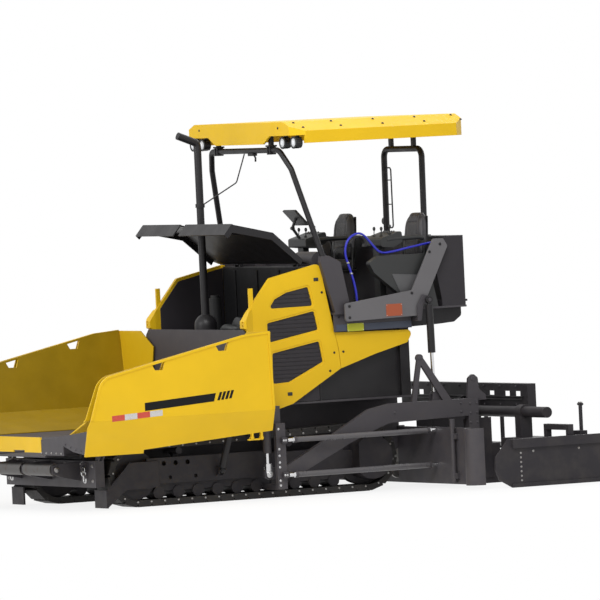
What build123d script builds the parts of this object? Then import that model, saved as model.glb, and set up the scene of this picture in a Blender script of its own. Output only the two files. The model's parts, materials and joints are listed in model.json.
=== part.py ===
from build123d import *
import math
import os

os.makedirs("parts", exist_ok=True)

# A tracked asphalt paver, in millimetres: +X forward, +Y to its left, +Z up.
# The origin is on the ground under the middle of the whole machine.
# Left pieces are made and the right ones are their mirror images.

# Tracks
TRACK_GAUGE = 1810
SHOE_WIDTH = 330
IDLER_X = 2180
SPROCKET_X = -550
IDLER_REACH = 330
SPROCKET_REACH = 360
SHOE_COUNT = 46
SHOE_GAP = 16
SHOE_LUG = 28
TRACK_THICKNESS = 70
TRACK_INNER = TRACK_GAUGE / 2 - SHOE_WIDTH / 2
TRACK_OUTER = TRACK_GAUGE / 2 + SHOE_WIDTH / 2
TRACK_GAP = 0.3
TRACK_TOP_Z = max(2 * IDLER_REACH, 2 * SPROCKET_REACH - 60)
CARRIER_ROLLER_Z = 2 * min(IDLER_REACH, SPROCKET_REACH) - TRACK_THICKNESS - 30
CARRIER_ROLLER_RADIUS = 38

# Track frames
FRAME_BEAM_Y = (TRACK_GAUGE / 2 - 105, TRACK_GAUGE / 2 + 105)
FRAME_BEAM_Z = (150, 470)
FRAME_BEAM_X = (-300, 1930)
ROLLER_RADIUS = 64.7
ROLLER_COUNT = 10
ROLLER_FIRST_X = 1905
ROLLER_PITCH = 230
GUARD_PLATE_X = (700, 2070)
GUARD_PLATE_Z = (230, 500)
GUARD_PLATE_THICK = 12
GUARD_PLATE_Y = TRACK_OUTER + 12
DRIVE_COVER_RADIUS = 230
DRIVE_COVER_Y = TRACK_OUTER + 110

# Main frame
FRAME_HALF = TRACK_INNER - 140
FRAME_PLATE = 20
FRAME_FRONT_X = 2545
FRAME_REAR_X = -1200
FRAME_BOTTOM_Z = 250
CONVEYOR_FLOOR_Z = TRACK_TOP_Z - 82
TUNNEL_TOP_Z = 960
DECK_THICK = 20

# Front beam and push rollers
BEAM_FRONT_X = 2650
BEAM_HALF = TRACK_OUTER - 20
BEAM_Z = (230, 510)
PUSH_ROLLER_X = 2930
PUSH_ROLLER_Z = 430
PUSH_ROLLER_RADIUS = 66
PUSH_ROLLER_Y = (32, 672)
PUSH_AXLE_RADIUS = 20
RUNNING_FIT = 0.05
TOW_EYE_Y = 860
TOW_EYE_RADIUS = 18

# Hopper
WING_FRONT_X = 3050
WING_REAR_X = 876
WING_HINGE_Y = TRACK_OUTER + 30
WING_HINGE_Z = TRACK_TOP_Z + 60
WING_PIN_RADIUS = 16
WING_KNUCKLE_RADIUS = 33
WING_TOP_Y = WING_HINGE_Y + 650
WING_TOP_Z = WING_HINGE_Z + 1055
WING_CREASE_Z = WING_HINGE_Z + 230
WING_FOOT_Y = WING_TOP_Y - 125
SLOPE_FOOT_Y = WING_HINGE_Y - 35
SLOPE_CREASE_Y = WING_FOOT_Y - 13
FLOOR_EDGE_Y = WING_HINGE_Y - 62
WING_NOSE_X = 2880
WING_NOSE_Z = WING_HINGE_Z + 670
WING_NOSE_RADIUS = 190
WING_RIM = 24
WING_RIM_RISE = 8
WING_HOLE_X = (2210, 1460)
WING_HOLE_HALF = 75
APRON_X = (3006, 3018)
APRON_TAB = 12
FLOOR_FRONT_X = APRON_X[0] - 16
SHEET = 15
DEFLECTOR_X = (845, 865)
DEFLECTOR_HALF = WING_HINGE_Y + 50
DEFLECTOR_TOP_Z = WING_TOP_Z

# Wing cylinders
WING_CYLINDER_X = 1225
WING_CYLINDER_BASE = (GUARD_PLATE_Y + GUARD_PLATE_THICK + 56, 330)
WING_CYLINDER_EYE = (WING_HINGE_Y + 370, WING_HINGE_Z + 142)
WING_BARREL_RADIUS = 36
WING_ROD_RADIUS = 18
WING_BARREL_LENGTH = 430

# Engine bay
PANEL_Y = TRACK_OUTER + 15
PANEL_THICK = 40
HOOD_HINGE_X = -20
HOOD_HINGE_Z = 2425
HOOD_HALF = PANEL_Y - 60
HOOD_SHEET = 14
STACK_X = 690
STACK_Y = -90
STACK_RADIUS = 40
STACK_TOP_Z = 3740
MUFFLER_TOP_Z = 1814
MUFFLER_RADIUS = 120
FIREWALL_X = (-60, -40)
BAY_HALF = PANEL_Y - PANEL_THICK - 0.3
PANEL_CORNER = 45
WINDOW_CORNER = 22
WINDOW_BORDER = 20
PRESSED = 6
LINING = 10

# Platform
PLATFORM_HALF = PANEL_Y + 65
PLATFORM_FRONT_X = -200
PLATFORM_REAR_X = -1790
PLATFORM_Z = (1880, 1900)
BULKHEAD_X = (-300, -230)
BULKHEAD_TOP_Z = 2430
GUARD_Y = PLATFORM_HALF + 50
GUARD_THICK = 25
GUARD_CORNER = 30
FASCIA_Z = (1695, 1880)
COWL_X = -208
COWL_Z = 2440
COWL_RADIUS = 105
COWL_Y = (PLATFORM_HALF - 730, PLATFORM_HALF - 290)
CABINET_X = (-1780, -1580)
CABINET_Z = (1962, 2640)
CABINET_WALL = 15
CHEEK_FRONT_X = -1400
SEAT_Y = PLATFORM_HALF - 350
SEAT_X = -1200
SEAT_BASE_Z = 2280
CONSOLE_Y = PLATFORM_HALF - 300
SIDE_BOX_Y = (PLATFORM_HALF - 88, PLATFORM_HALF)
SIDE_BOX_TOP_Z = 2470

# Canopy
CANOPY_X = (-1830, 240)
CANOPY_HALF = PANEL_Y + 185
CANOPY_CROWN_Z = 3930
CANOPY_Z = (CANOPY_CROWN_Z - 230, CANOPY_CROWN_Z - 100)
CANOPY_SKIN = 22
CANOPY_CORNER = 130
CANOPY_NOTCH_Y = (545, 700)
CANOPY_NOTCH_RISE = 85
LAMP_PLACES = ((200, CANOPY_HALF - 350), (190, CANOPY_HALF - 120))
LAMP_RADIUS = 60
LAMP_DEPTH = 75
HOOP_RADIUS = 30
HOOP_TOP_Z = CANOPY_Z[0] - 65
REAR_HOOP_TOP_Z = CANOPY_Z[0] - 130
REAR_HOOP_X = -1720

# Tow arms
TOW_X = 770
TOW_Z = 260
TOW_PIN_RADIUS = 22
GUIDE_X = (605, 715)
GUIDE_Z = (100, TRACK_TOP_Z + 130)

ARM_BEND = 110
BRACE_APEX = (-1082, 1375)

# Screed lift cylinders
LIFT_TOP = (-1270, 1980)
LIFT_EYE = (-1280, 985)
LIFT_BARREL_RADIUS = 40
LIFT_ROD_RADIUS = 20
LIFT_BARREL_LENGTH = 560
LIFT_GAP = 7
LIFT_Y = GUARD_Y + GUARD_THICK + LIFT_GAP + LIFT_BARREL_RADIUS
ARM_Y = (LIFT_Y + 28, LIFT_Y + 88)
GUIDE_Y = (ARM_Y[1] + 25, ARM_Y[1] + 80)

# Auger
AUGER_X = -1400
AUGER_Z = 250
AUGER_RADIUS = 180
AUGER_SHAFT_RADIUS = 45
AUGER_PIN_RADIUS = 25
AUGER_Y = (70, ARM_Y[1] + 15)
AUGER_PITCH = 290
CHANNEL_PLATE_X = (-1200, -1180)
CHANNEL_PLATE_Y = (FRAME_HALF, ARM_Y[1] + 840)
CHANNEL_PLATE_Z = (45, 640)
SHIELD_RADIUS = 140
SHIELD_Y = CHANNEL_PLATE_Y[1] + SHIELD_RADIUS - 20
HINGE_POST_Y = CHANNEL_PLATE_Y[1] - 320
STRUT_Y = ARM_Y[1] + 90
STRUT_Z = (245, 610)
STRUT_RADIUS = 28
STRUT_END_RADIUS = 18
STRUT_JOINT_X = (-1090, 500)

# Screed
SCREED_X = (-2060, -1610)
SCREED_HALF = ARM_Y[0] - 50
SCREED_TOP_Z = 420
EXT_X = (-2500, -2080)
EXT_Y = (SCREED_HALF + 2, SCREED_HALF + 1240)
EXT_TOP_Z = 470
GATE_Y = (EXT_Y[1], EXT_Y[1] + 25)
REAR_BEAM_X = (-2440, -2340)
REAR_BEAM_HALF = SCREED_HALF + 150
REAR_BEAM_Z = (780, 1030)
REAR_BEAM_HOLES = (560, 900, 1130)
SLIDE_TUBE_X = -2230
SLIDE_TUBE_Z = 740
SLIDE_TUBE_RADIUS = 58
SLIDE_TUBE_HALF = SCREED_HALF + 750
SLEEVE_WALL = 20
SLEEVE_LENGTH = 120
SLEEVE_Y = (SCREED_HALF + 170, SCREED_HALF + 170 + SLEEVE_LENGTH)
CARRIER_Y = (-360, -10, 340)
CARRIER_THICK = 20
WALKWAY_X = (-3050, -2560)
WALKWAY_Z = (320, 345)

# Water hose, points of its route: X, Y, Z
HOSE_RADIUS = 12
HOSE_Y = PLATFORM_HALF - 46
HOSE_ROUTE = (
    (-500, HOSE_Y + 2, 1935),
    (-500, HOSE_Y + 2, 2045),
    (-478, HOSE_Y - 1, 2200),
    (-428, HOSE_Y - 4, 2370),
    (-376, HOSE_Y - 4, 2520),
    (-420, HOSE_Y - 2, 2672),
    (-575, HOSE_Y, 2740),
    (-692, HOSE_Y - 1, 2618),
    (-800, HOSE_Y, 2492),
    (-950, HOSE_Y + 6, 2505),
    (-1120, HOSE_Y + 10, 2536),
    (-1290, HOSE_Y + 6, 2562),
    (-1435, HOSE_Y, 2582),
    (-1555, HOSE_Y, 2582),
)
HOSE_SADDLE = (-549, HOSE_Y, 2610)
HOSE_SADDLE_RADIUS = 90


def block(x, y, z):
    """A box from its low and high corner, each range in either order."""
    size = [abs(r[1] - r[0]) for r in (x, y, z)]
    middle = [(r[0] + r[1]) / 2 for r in (x, y, z)]
    return Pos(*middle) * Box(*size)


def plate_xz(points, y):
    """A plate whose outline is given as X, Z pairs, between two Y values."""
    outline = Polyline(*[(px, y[0], pz) for px, pz in points], close=True)
    return extrude(make_face(outline), amount=y[1] - y[0], dir=(0, 1, 0))


def plate_yz(points, x):
    """A plate whose outline is given as Y, Z pairs, between two X values."""
    outline = Polyline(*[(x[0], py, pz) for py, pz in points], close=True)
    return extrude(make_face(outline), amount=x[1] - x[0], dir=(1, 0, 0))


def plate_xy(points, z):
    """A plate whose outline is given as X, Y pairs, between two Z values."""
    outline = Polyline(*[(px, py, z[0]) for px, py in points], close=True)
    return extrude(make_face(outline), amount=z[1] - z[0], dir=(0, 0, 1))


def rounded(points, radius, corners=None):
    """A flat outline with all corners rounded, or only those whose numbers are listed."""
    face = make_face(Polyline(*points, close=True))
    wanted = points if corners is None else [points[number] for number in corners]
    picked = [
        corner
        for corner in face.vertices()
        if any(math.hypot(corner.X - px, corner.Y - pz) < 1 for px, pz in wanted)
    ]
    return fillet(picked, radius)


def raise_xz(outline, y):
    """A plate between two Y values from a flat outline drawn in X and Z."""
    stand = Plane(origin=(0, y[0], 0), x_dir=(1, 0, 0), z_dir=(0, -1, 0))
    return extrude(stand * outline, amount=y[0] - y[1])


def bar(start, end, radius):
    """A round bar between two points."""
    axis = Vector(*end) - Vector(*start)
    low = (Align.CENTER, Align.CENTER, Align.MIN)
    return Plane(origin=start, z_dir=axis) * Cylinder(radius, axis.length, align=low)


def bent_bar(points, bend, radius):
    """A round bar along straight runs joined by equal bends."""
    path = FilletPolyline(*points, radius=bend)
    section = Plane(origin=path @ 0, z_dir=path % 0) * Circle(radius)
    return sweep(section, path=path)


def across(x, z, y, radius):
    """A round bar along Y."""
    return bar((x, y[0], z), (x, y[1], z), radius)


def both(shape):
    """A left piece together with its mirror image."""
    return shape + mirror(shape, about=Plane.XZ)


def save(name, shape):
    """Writes one node."""
    export_step(shape, f"parts/{name}.step")


def save_pair(name, shape):
    """Writes a left node and its mirror image."""
    save(f"{name}_left", shape)
    save(f"{name}_right", mirror(shape, about=Plane.XZ))


def loop_point(distance, depth):
    """A point on the track's path, this deep under the lugs' tips, and its outward angle."""
    idler = IDLER_REACH - depth
    sprocket = SPROCKET_REACH - depth
    span = math.hypot(IDLER_X - SPROCKET_X, SPROCKET_REACH - IDLER_REACH)
    tilt = 2 * math.asin((SPROCKET_REACH - IDLER_REACH) / span)
    run = IDLER_X - SPROCKET_X
    turns = (math.pi + tilt, math.pi - tilt)
    parts = (run, sprocket * turns[0], run, idler * turns[1])
    distance = distance % sum(parts)
    if distance < parts[0]:
        return IDLER_X - distance, depth, -math.pi / 2
    distance = distance - parts[0]
    if distance < parts[1]:
        angle = -math.pi / 2 - distance / sprocket
        x = SPROCKET_X + sprocket * math.cos(angle)
        return x, SPROCKET_REACH + sprocket * math.sin(angle), angle
    distance = distance - parts[1]
    top = math.pi / 2 - tilt
    if distance < parts[2]:
        x = SPROCKET_X + sprocket * math.cos(top) + distance * math.sin(top)
        z = SPROCKET_REACH + sprocket * math.sin(top) - distance * math.cos(top)
        return x, z, top
    angle = top - (distance - parts[2]) / idler
    x = IDLER_X + idler * math.cos(angle)
    return x, IDLER_REACH + idler * math.sin(angle), angle


def loop_length(depth):
    """The length of the track's path at this depth."""
    span = math.hypot(IDLER_X - SPROCKET_X, SPROCKET_REACH - IDLER_REACH)
    tilt = 2 * math.asin((SPROCKET_REACH - IDLER_REACH) / span)
    arcs = (SPROCKET_REACH - depth) * (math.pi + tilt) + (IDLER_REACH - depth) * (math.pi - tilt)
    return 2 * (IDLER_X - SPROCKET_X) + arcs


def make_track():
    """The loop of shoes: each shoe is a raised pad in the loop's outline."""
    pitch = loop_length(SHOE_LUG) / SHOE_COUNT
    outline = []
    for shoe in range(SHOE_COUNT):
        start = loop_point(shoe * pitch + SHOE_GAP / 2, SHOE_LUG)
        end = loop_point((shoe + 1) * pitch - SHOE_GAP / 2, SHOE_LUG)
        along = (end[0] - start[0], end[1] - start[1])
        length = math.hypot(*along)
        lift = (-along[1] / length * SHOE_LUG, along[0] / length * SHOE_LUG)
        outline.append((start[0], start[1]))
        outline.append((start[0] + lift[0], start[1] + lift[1]))
        outline.append((end[0] + lift[0], end[1] + lift[1]))
        outline.append((end[0], end[1]))
    loop = plate_xz(outline, (TRACK_INNER, TRACK_OUTER))
    wide = (TRACK_INNER - 1, TRACK_OUTER + 1)
    idler = IDLER_REACH - TRACK_THICKNESS
    sprocket = SPROCKET_REACH - TRACK_THICKNESS
    top = loop_point(IDLER_X - SPROCKET_X + 1 + sprocket * math.pi * 1.01, TRACK_THICKNESS)
    lean = top[2]
    space = plate_xz(
        [
            (IDLER_X, TRACK_THICKNESS),
            (SPROCKET_X, TRACK_THICKNESS),
            (SPROCKET_X + sprocket * math.cos(lean), SPROCKET_REACH + sprocket * math.sin(lean)),
            (IDLER_X + idler * math.cos(lean), IDLER_REACH + idler * math.sin(lean)),
        ],
        wide,
    )
    space += across(IDLER_X, IDLER_REACH, wide, idler)
    space += across(SPROCKET_X, SPROCKET_REACH, wide, sprocket)
    return loop - space


def make_track_frame():
    """Beam, rollers, idler, sprocket, drive cover and the guard plate outside the track."""
    frame = block(FRAME_BEAM_X, FRAME_BEAM_Y, FRAME_BEAM_Z)
    wheel_y = (FRAME_BEAM_Y[0] - 15, FRAME_BEAM_Y[1] + 15)
    for number in range(ROLLER_COUNT):
        x = ROLLER_FIRST_X - number * ROLLER_PITCH
        frame += across(x, TRACK_THICKNESS + ROLLER_RADIUS + TRACK_GAP, wheel_y, ROLLER_RADIUS)
    idler = IDLER_REACH - TRACK_THICKNESS - TRACK_GAP
    frame += across(IDLER_X, IDLER_REACH, FRAME_BEAM_Y, idler)
    for y in (FRAME_BEAM_Y[0] - 25, FRAME_BEAM_Y[1] + 5):
        frame += block((FRAME_BEAM_X[1] - 120, IDLER_X + 60), (y, y + 20), (290, 370))
        frame += across(IDLER_X, IDLER_REACH, (y - 5, y + 25), 60)
    sprocket = SPROCKET_REACH - TRACK_THICKNESS - TRACK_GAP
    frame += across(SPROCKET_X, SPROCKET_REACH, (FRAME_BEAM_Y[0] + 60, FRAME_BEAM_Y[1] - 60), sprocket)
    hub = across(SPROCKET_X - 20, SPROCKET_REACH, (FRAME_BEAM_Y[0], DRIVE_COVER_Y), DRIVE_COVER_RADIUS)
    shaved = (TRACK_GAUGE / 2, DRIVE_COVER_Y + 10)
    frame += hub - block((SPROCKET_X + 150, SPROCKET_X + 300), shaved, (0, 900))
    frame += block((SPROCKET_X, FRAME_BEAM_X[0]), FRAME_BEAM_Y, (260, 440))
    for x in (1650, 350):
        post_y = (TRACK_GAUGE / 2 - 25, TRACK_GAUGE / 2 + 25)
        frame += block((x - 30, x + 30), post_y, (FRAME_BEAM_Z[1], CARRIER_ROLLER_Z))
        frame += across(x, CARRIER_ROLLER_Z, wheel_y, CARRIER_ROLLER_RADIUS)
    guard = block(GUARD_PLATE_X, (GUARD_PLATE_Y, GUARD_PLATE_Y + GUARD_PLATE_THICK), GUARD_PLATE_Z)
    through = (GUARD_PLATE_Y - 1, GUARD_PLATE_Y + GUARD_PLATE_THICK + 1)
    for x in (1990, 1870, 1730, 1590):
        guard -= across(x, 440, through, 26)
    for x in (1960, 1800, 1500):
        guard -= across(x, 290, through, 20)
    frame += guard
    for x in (820, 1400, 2000):
        frame += block((x - 40, x + 40), (FRAME_BEAM_Y[1], GUARD_PLATE_Y), (330, 410))
    return frame + make_wing_cylinder_base() + make_track_plow()


def make_track_plow():
    """Blade in front of the track, its arm and the arm's bracket on the guard plate."""
    arm_y = (GUARD_PLATE_Y + GUARD_PLATE_THICK, GUARD_PLATE_Y + GUARD_PLATE_THICK + 20)
    arm = [(1940, 200), (2060, 190), (2330, 190), (2545, 20), (2545, 200), (2280, 470), (1940, 470)]
    plow = plate_xz(arm, arm_y)
    plow += block((2545, 2565), (arm_y[1] - 275, arm_y[1]), (12, 200))
    return plow


def make_main_frame():
    """Side plates, cross beams, conveyor floor, tunnel roof and the beams to the tracks."""
    side = [
        (FRAME_FRONT_X, FRAME_BOTTOM_Z),
        (FRAME_FRONT_X, CONVEYOR_FLOOR_Z),
        (DEFLECTOR_X[0], CONVEYOR_FLOOR_Z),
        (DEFLECTOR_X[0], TUNNEL_TOP_Z),
        (FRAME_REAR_X, TUNNEL_TOP_Z),
        (FRAME_REAR_X, 420),
        (-900, FRAME_BOTTOM_Z),
    ]
    frame = both(plate_xz(side, (FRAME_HALF - FRAME_PLATE, FRAME_HALF)))
    inner = FRAME_HALF - FRAME_PLATE
    frame += block((FRAME_REAR_X, FRAME_FRONT_X), (-inner, inner), (CONVEYOR_FLOOR_Z - 18, CONVEYOR_FLOOR_Z))
    for x in (2450, 1550, 650, -250, -1000):
        frame += block((x - 50, x + 50), (-inner, inner), (430, CONVEYOR_FLOOR_Z - 18))
    deck = (FRAME_REAR_X + 60, DEFLECTOR_X[0])
    frame += block(deck, (-BAY_HALF, BAY_HALF), (TUNNEL_TOP_Z, TUNNEL_TOP_Z + DECK_THICK))
    for x in (1600, 100):
        frame += both(block((x - 90, x + 90), (FRAME_HALF, FRAME_BEAM_Y[0]), (260, 440)))
    return frame


def make_conveyor():
    """Two slat chains on the conveyor floor, one fixed piece for each side."""
    slats = None
    floor = CONVEYOR_FLOOR_Z
    for side in (1, -1):
        y = (side * 30, side * (FRAME_HALF - 40))
        for edge in (40, FRAME_HALF - 65):
            rail_y = (side * (edge - 8), side * (edge + 8))
            rail = block((FRAME_REAR_X + 30, 2500), rail_y, (floor, floor + 14))
            slats = rail if slats is None else slats + rail
        for number in range(14):
            x = 2440 - number * 265
            slats += block((x - 18, x + 18), y, (floor, floor + 26))
    guard = [(-28, floor), (28, floor), (28, floor + 40), (0, floor + 62), (-28, floor + 40)]
    return slats + plate_yz(guard, (900, 2540))


def hinge_bar(x, radius):
    """A round bar on the left wing's hinge line."""
    return bar((x[0], WING_HINGE_Y, WING_HINGE_Z), (x[1], WING_HINGE_Y, WING_HINGE_Z), radius)


def make_front_beam():
    """Bumper channel with its end plates, hinge lugs for the wings and the roller brackets."""
    web = BEAM_FRONT_X - 20
    beam = block((web, BEAM_FRONT_X), (-BEAM_HALF, BEAM_HALF), BEAM_Z)
    for z in ((BEAM_Z[0], BEAM_Z[0] + 15), (BEAM_Z[1] - 15, BEAM_Z[1])):
        beam += block((FRAME_FRONT_X, web), (-BEAM_HALF, BEAM_HALF), z)
    inside = (BEAM_Z[0] + 15, BEAM_Z[1] - 15)
    beam += both(block((FRAME_FRONT_X, web), (FRAME_HALF - FRAME_PLATE, FRAME_HALF), inside))
    beam += both(block((FRAME_FRONT_X, web), (BEAM_HALF - 15, BEAM_HALF), inside))
    inner = WING_HINGE_Y - WING_KNUCKLE_RADIUS
    outer = WING_HINGE_Y + WING_KNUCKLE_RADIUS
    lug = [
        (BEAM_HALF - 50, BEAM_Z[1] - 5),
        (BEAM_HALF, BEAM_Z[1] - 5),
        (outer, WING_HINGE_Z - 120),
        (outer, WING_HINGE_Z),
        (inner, WING_HINGE_Z),
        (BEAM_HALF - 10, WING_HINGE_Z - 100),
        (BEAM_HALF - 50, BEAM_Z[1] + 20),
    ]
    for x in ((FRAME_FRONT_X + 5, FRAME_FRONT_X + 23), (FRAME_FRONT_X + 55, FRAME_FRONT_X + 73)):
        beam += both(plate_yz(lug, x) + hinge_bar(x, WING_KNUCKLE_RADIUS))
    beam += both(hinge_bar((FRAME_FRONT_X, FRAME_FRONT_X + 80), WING_PIN_RADIUS))
    bracket = [(BEAM_FRONT_X, 300), (BEAM_FRONT_X, 500), (2880, 490), (2975, 470), (2975, 390), (2880, 350)]
    plates = ((PUSH_ROLLER_Y[0] - 27, PUSH_ROLLER_Y[0] - 7), (PUSH_ROLLER_Y[1] + 7, PUSH_ROLLER_Y[1] + 27))
    for y in plates:
        beam += both(plate_xz(bracket, y))
    beam += both(across(PUSH_ROLLER_X, PUSH_ROLLER_Z, (plates[0][0], plates[1][1] + 12), PUSH_AXLE_RADIUS))
    x = BEAM_FRONT_X
    eye = [(x, 400), (x, 505), (x + 60, 490), (x + 80, 450), (x + 60, 410)]
    tow_eye = plate_xz(eye, (TOW_EYE_Y - 12, TOW_EYE_Y + 12))
    tow_eye -= across(x + 42, 450, (TOW_EYE_Y - 13, TOW_EYE_Y + 13), TOW_EYE_RADIUS)
    return beam + both(tow_eye)


def make_push_roller():
    """Hollow roller that turns on its fixed axle."""
    roller = across(PUSH_ROLLER_X, PUSH_ROLLER_Z, PUSH_ROLLER_Y, PUSH_ROLLER_RADIUS)
    return roller - across(PUSH_ROLLER_X, PUSH_ROLLER_Z, PUSH_ROLLER_Y, PUSH_AXLE_RADIUS + RUNNING_FIT)


def make_hopper_floor():
    """Fixed slopes beside the conveyor, over the tracks, with the front corner plates."""
    half = FRAME_HALF
    edge = FLOOR_EDGE_Y
    bend = half + 128
    top = WING_HINGE_Z
    low = CONVEYOR_FLOOR_Z
    slope = [
        (half, low + 14),
        (bend - 6, top - 4),
        (edge, top + 37),
        (edge - 2, top + 24),
        (bend, top - 17),
        (half, low - 2),
    ]
    floor = both(plate_yz(slope, (DEFLECTOR_X[1], FLOOR_FRONT_X)))
    for x in (2600, 1600):
        gusset = [
            (half, low - 2),
            (bend, top - 17),
            (bend + 6, top - 17),
            (bend + 6, top - 80),
            (half + 40, low - 58),
            (half, low - 58),
        ]
        floor += both(plate_yz(gusset, (x - 6, x + 6)))
    mouth = half - 80
    corner = [(mouth, low + 7), (mouth, top + 25), (edge - 2, top + 70), (edge - 2, low + 7)]
    x = FLOOR_FRONT_X
    front = both(plate_yz(corner, (x, x + 10)))
    lip = block((x, x + 14), (-mouth, mouth), (low + 32, top + 50))
    lip -= block((x - 10, x + 20), (-130, 130), (low + 22, low + 54))
    apron = block((FRAME_FRONT_X, x + 10), (-half, half), (low - 18, low))
    return floor + front + apron, lip


def make_wing():
    """Tipping hopper side: inner slope and wall, outer cover, rear flap and hinge ears."""
    foot = WING_HINGE_Z - 137
    slope_foot = (SLOPE_FOOT_Y, WING_HINGE_Z + 45)
    crease = (SLOPE_CREASE_Y, WING_CREASE_Z + 17)
    section = [
        slope_foot,
        crease,
        (WING_TOP_Y - 28, WING_TOP_Z),
        (WING_TOP_Y, WING_TOP_Z),
        (WING_TOP_Y, WING_CREASE_Z),
        (WING_FOOT_Y, foot),
        (WING_FOOT_Y - SHEET, foot + 5),
        (WING_TOP_Y - SHEET, WING_CREASE_Z + 3),
        (WING_TOP_Y - SHEET, WING_TOP_Z - 125),
        (WING_TOP_Y - 30, WING_TOP_Z - 125),
        (SLOPE_CREASE_Y + 15, WING_CREASE_Z + 5),
        (SLOPE_FOOT_Y + 4, WING_HINGE_Z + 31),
    ]
    wing = plate_yz(section, (WING_REAR_X, WING_FRONT_X))
    flat_x = WING_REAR_X + 324
    step_x = WING_FRONT_X - 680
    slope = (flat_x - WING_NOSE_X) / (WING_TOP_Z - 28 - WING_NOSE_Z)
    silhouette = [
        (WING_FRONT_X, foot),
        (WING_FRONT_X, WING_CREASE_Z - 70),
        (WING_NOSE_X, WING_NOSE_Z),
        (flat_x, WING_TOP_Z - 28),
        (WING_REAR_X + 24, WING_TOP_Z - 5),
        (WING_REAR_X, WING_CREASE_Z + 45),
        (WING_REAR_X, WING_HINGE_Z + 11),
        (step_x, foot + 37),
        (step_x, foot),
    ]
    side = rounded(silhouette, WING_NOSE_RADIUS, [2])
    beyond = WING_TOP_Y + 50
    within = SLOPE_FOOT_Y - 150
    wing &= raise_xz(side, (within, beyond))
    mouth = (within, WING_FOOT_Y - 40)
    wing -= block((APRON_X[0] - APRON_TAB, WING_FRONT_X + 1), mouth, (foot - 80, WING_CREASE_Z + 150))
    rim = raise_xz(side - offset(side, -WING_RIM), (WING_TOP_Y, WING_TOP_Y + WING_RIM_RISE))
    wing += rim & block((WING_REAR_X, WING_FRONT_X), (WING_TOP_Y, beyond), (WING_CREASE_Z + 10, WING_TOP_Z))
    for x in WING_HOLE_X:
        top = WING_NOSE_Z + (x - WING_NOSE_X) / slope - WING_RIM
        lean = WING_HOLE_HALF / slope
        hole = [
            (x - WING_HOLE_HALF, top - lean),
            (x + WING_HOLE_HALF, top + lean),
            (x + WING_HOLE_HALF - 30, top - 72),
            (x - WING_HOLE_HALF + 30, top - 72),
        ]
        wing -= plate_xz(hole, (WING_TOP_Y - 150, beyond))
    flap = [
        (WING_TOP_Y - 15, WING_TOP_Z - 15),
        (SLOPE_FOOT_Y + 165, WING_TOP_Z - 15),
        (SLOPE_FOOT_Y - 125, WING_TOP_Z - 185),
        (SLOPE_FOOT_Y + 50, WING_HINGE_Z + 75),
        (SLOPE_CREASE_Y, WING_CREASE_Z + 28),
    ]
    wing += plate_yz(flap, (WING_REAR_X + 4, WING_REAR_X + 16))
    outer = WING_HINGE_Y + WING_KNUCKLE_RADIUS
    inner = WING_HINGE_Y - WING_KNUCKLE_RADIUS
    ear = [
        (SLOPE_FOOT_Y + 4, WING_HINGE_Z + 33),
        (WING_HINGE_Y + 140, WING_HINGE_Z + 95),
        (outer, WING_HINGE_Z),
        (inner, WING_HINGE_Z),
    ]
    for x in ((2576, 2594), (WING_REAR_X + 4, WING_REAR_X + 24)):
        wing += plate_yz(ear, x) + hinge_bar(x, WING_KNUCKLE_RADIUS)
        wing -= hinge_bar(x, WING_PIN_RADIUS + RUNNING_FIT)
    eye_y, eye_z = WING_CYLINDER_EYE
    cheek = [
        (eye_y - 35, eye_z),
        (eye_y - 60, eye_z + 43),
        (eye_y + 80, eye_z + 88),
        (eye_y + 35, eye_z - 10),
    ]
    for x in ((-36, -22), (22, 36)):
        x = (WING_CYLINDER_X + x[0], WING_CYLINDER_X + x[1])
        wing += plate_yz(cheek, x) + bar((x[0], eye_y, eye_z), (x[1], eye_y, eye_z), 34)
    return wing


def make_wing_apron():
    """Dark flap across the front of the wing's slope."""
    z = WING_HINGE_Z
    outline = [
        (SLOPE_FOOT_Y + 1, z - 30),
        (SLOPE_FOOT_Y + 1, z + 72),
        (WING_FOOT_Y + 67, z + 132),
        (WING_FOOT_Y + 51, z + 80),
        (WING_FOOT_Y - 17, z - 124),
        (WING_HINGE_Y + 200, z - 90),
    ]
    tab_y = (SLOPE_FOOT_Y + 15, SLOPE_FOOT_Y + 115)
    tab = [(tab_y[0], z + 37), (tab_y[1], z + 74), (tab_y[1], z + 85), (tab_y[0], z + 48)]
    return plate_yz(outline, APRON_X) + plate_yz(tab, (APRON_X[0] - APRON_TAB, APRON_X[0]))


def cylinder_pair(base, eye, barrel_radius, rod_radius, barrel_length, rod_start):
    """Barrel and rod of a cylinder between two points, in a plane that holds local X and Z."""
    axis = Vector(*eye) - Vector(*base)
    unit = axis.normalized()
    start = Vector(*base)
    mouth = start + unit * barrel_length
    barrel = bar(tuple(start + unit * 50), tuple(mouth), barrel_radius)
    barrel += bar(tuple(start + unit * 20), tuple(start + unit * 50), rod_radius)
    barrel -= bar(tuple(start + unit * 70), tuple(mouth), rod_radius + RUNNING_FIT)
    rod = bar(tuple(start + unit * rod_start), tuple(Vector(*eye) - unit * 20), rod_radius)
    return barrel, rod


def make_wing_cylinder():
    """Cylinder under the wing: eyes turn about X."""
    base = (WING_CYLINDER_X, *WING_CYLINDER_BASE)
    eye = (WING_CYLINDER_X, *WING_CYLINDER_EYE)
    barrel, rod = cylinder_pair(base, eye, WING_BARREL_RADIUS, WING_ROD_RADIUS, WING_BARREL_LENGTH, 80)
    for name, point, half in (("barrel", base, 20), ("rod", eye, 20)):
        start = (point[0] - half, point[1], point[2])
        end = (point[0] + half, point[1], point[2])
        if name == "barrel":
            barrel = barrel + bar(start, end, 36) - bar(start, end, 16 + RUNNING_FIT)
        else:
            rod = rod + bar(start, end, 32)
    return barrel, rod


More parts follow.
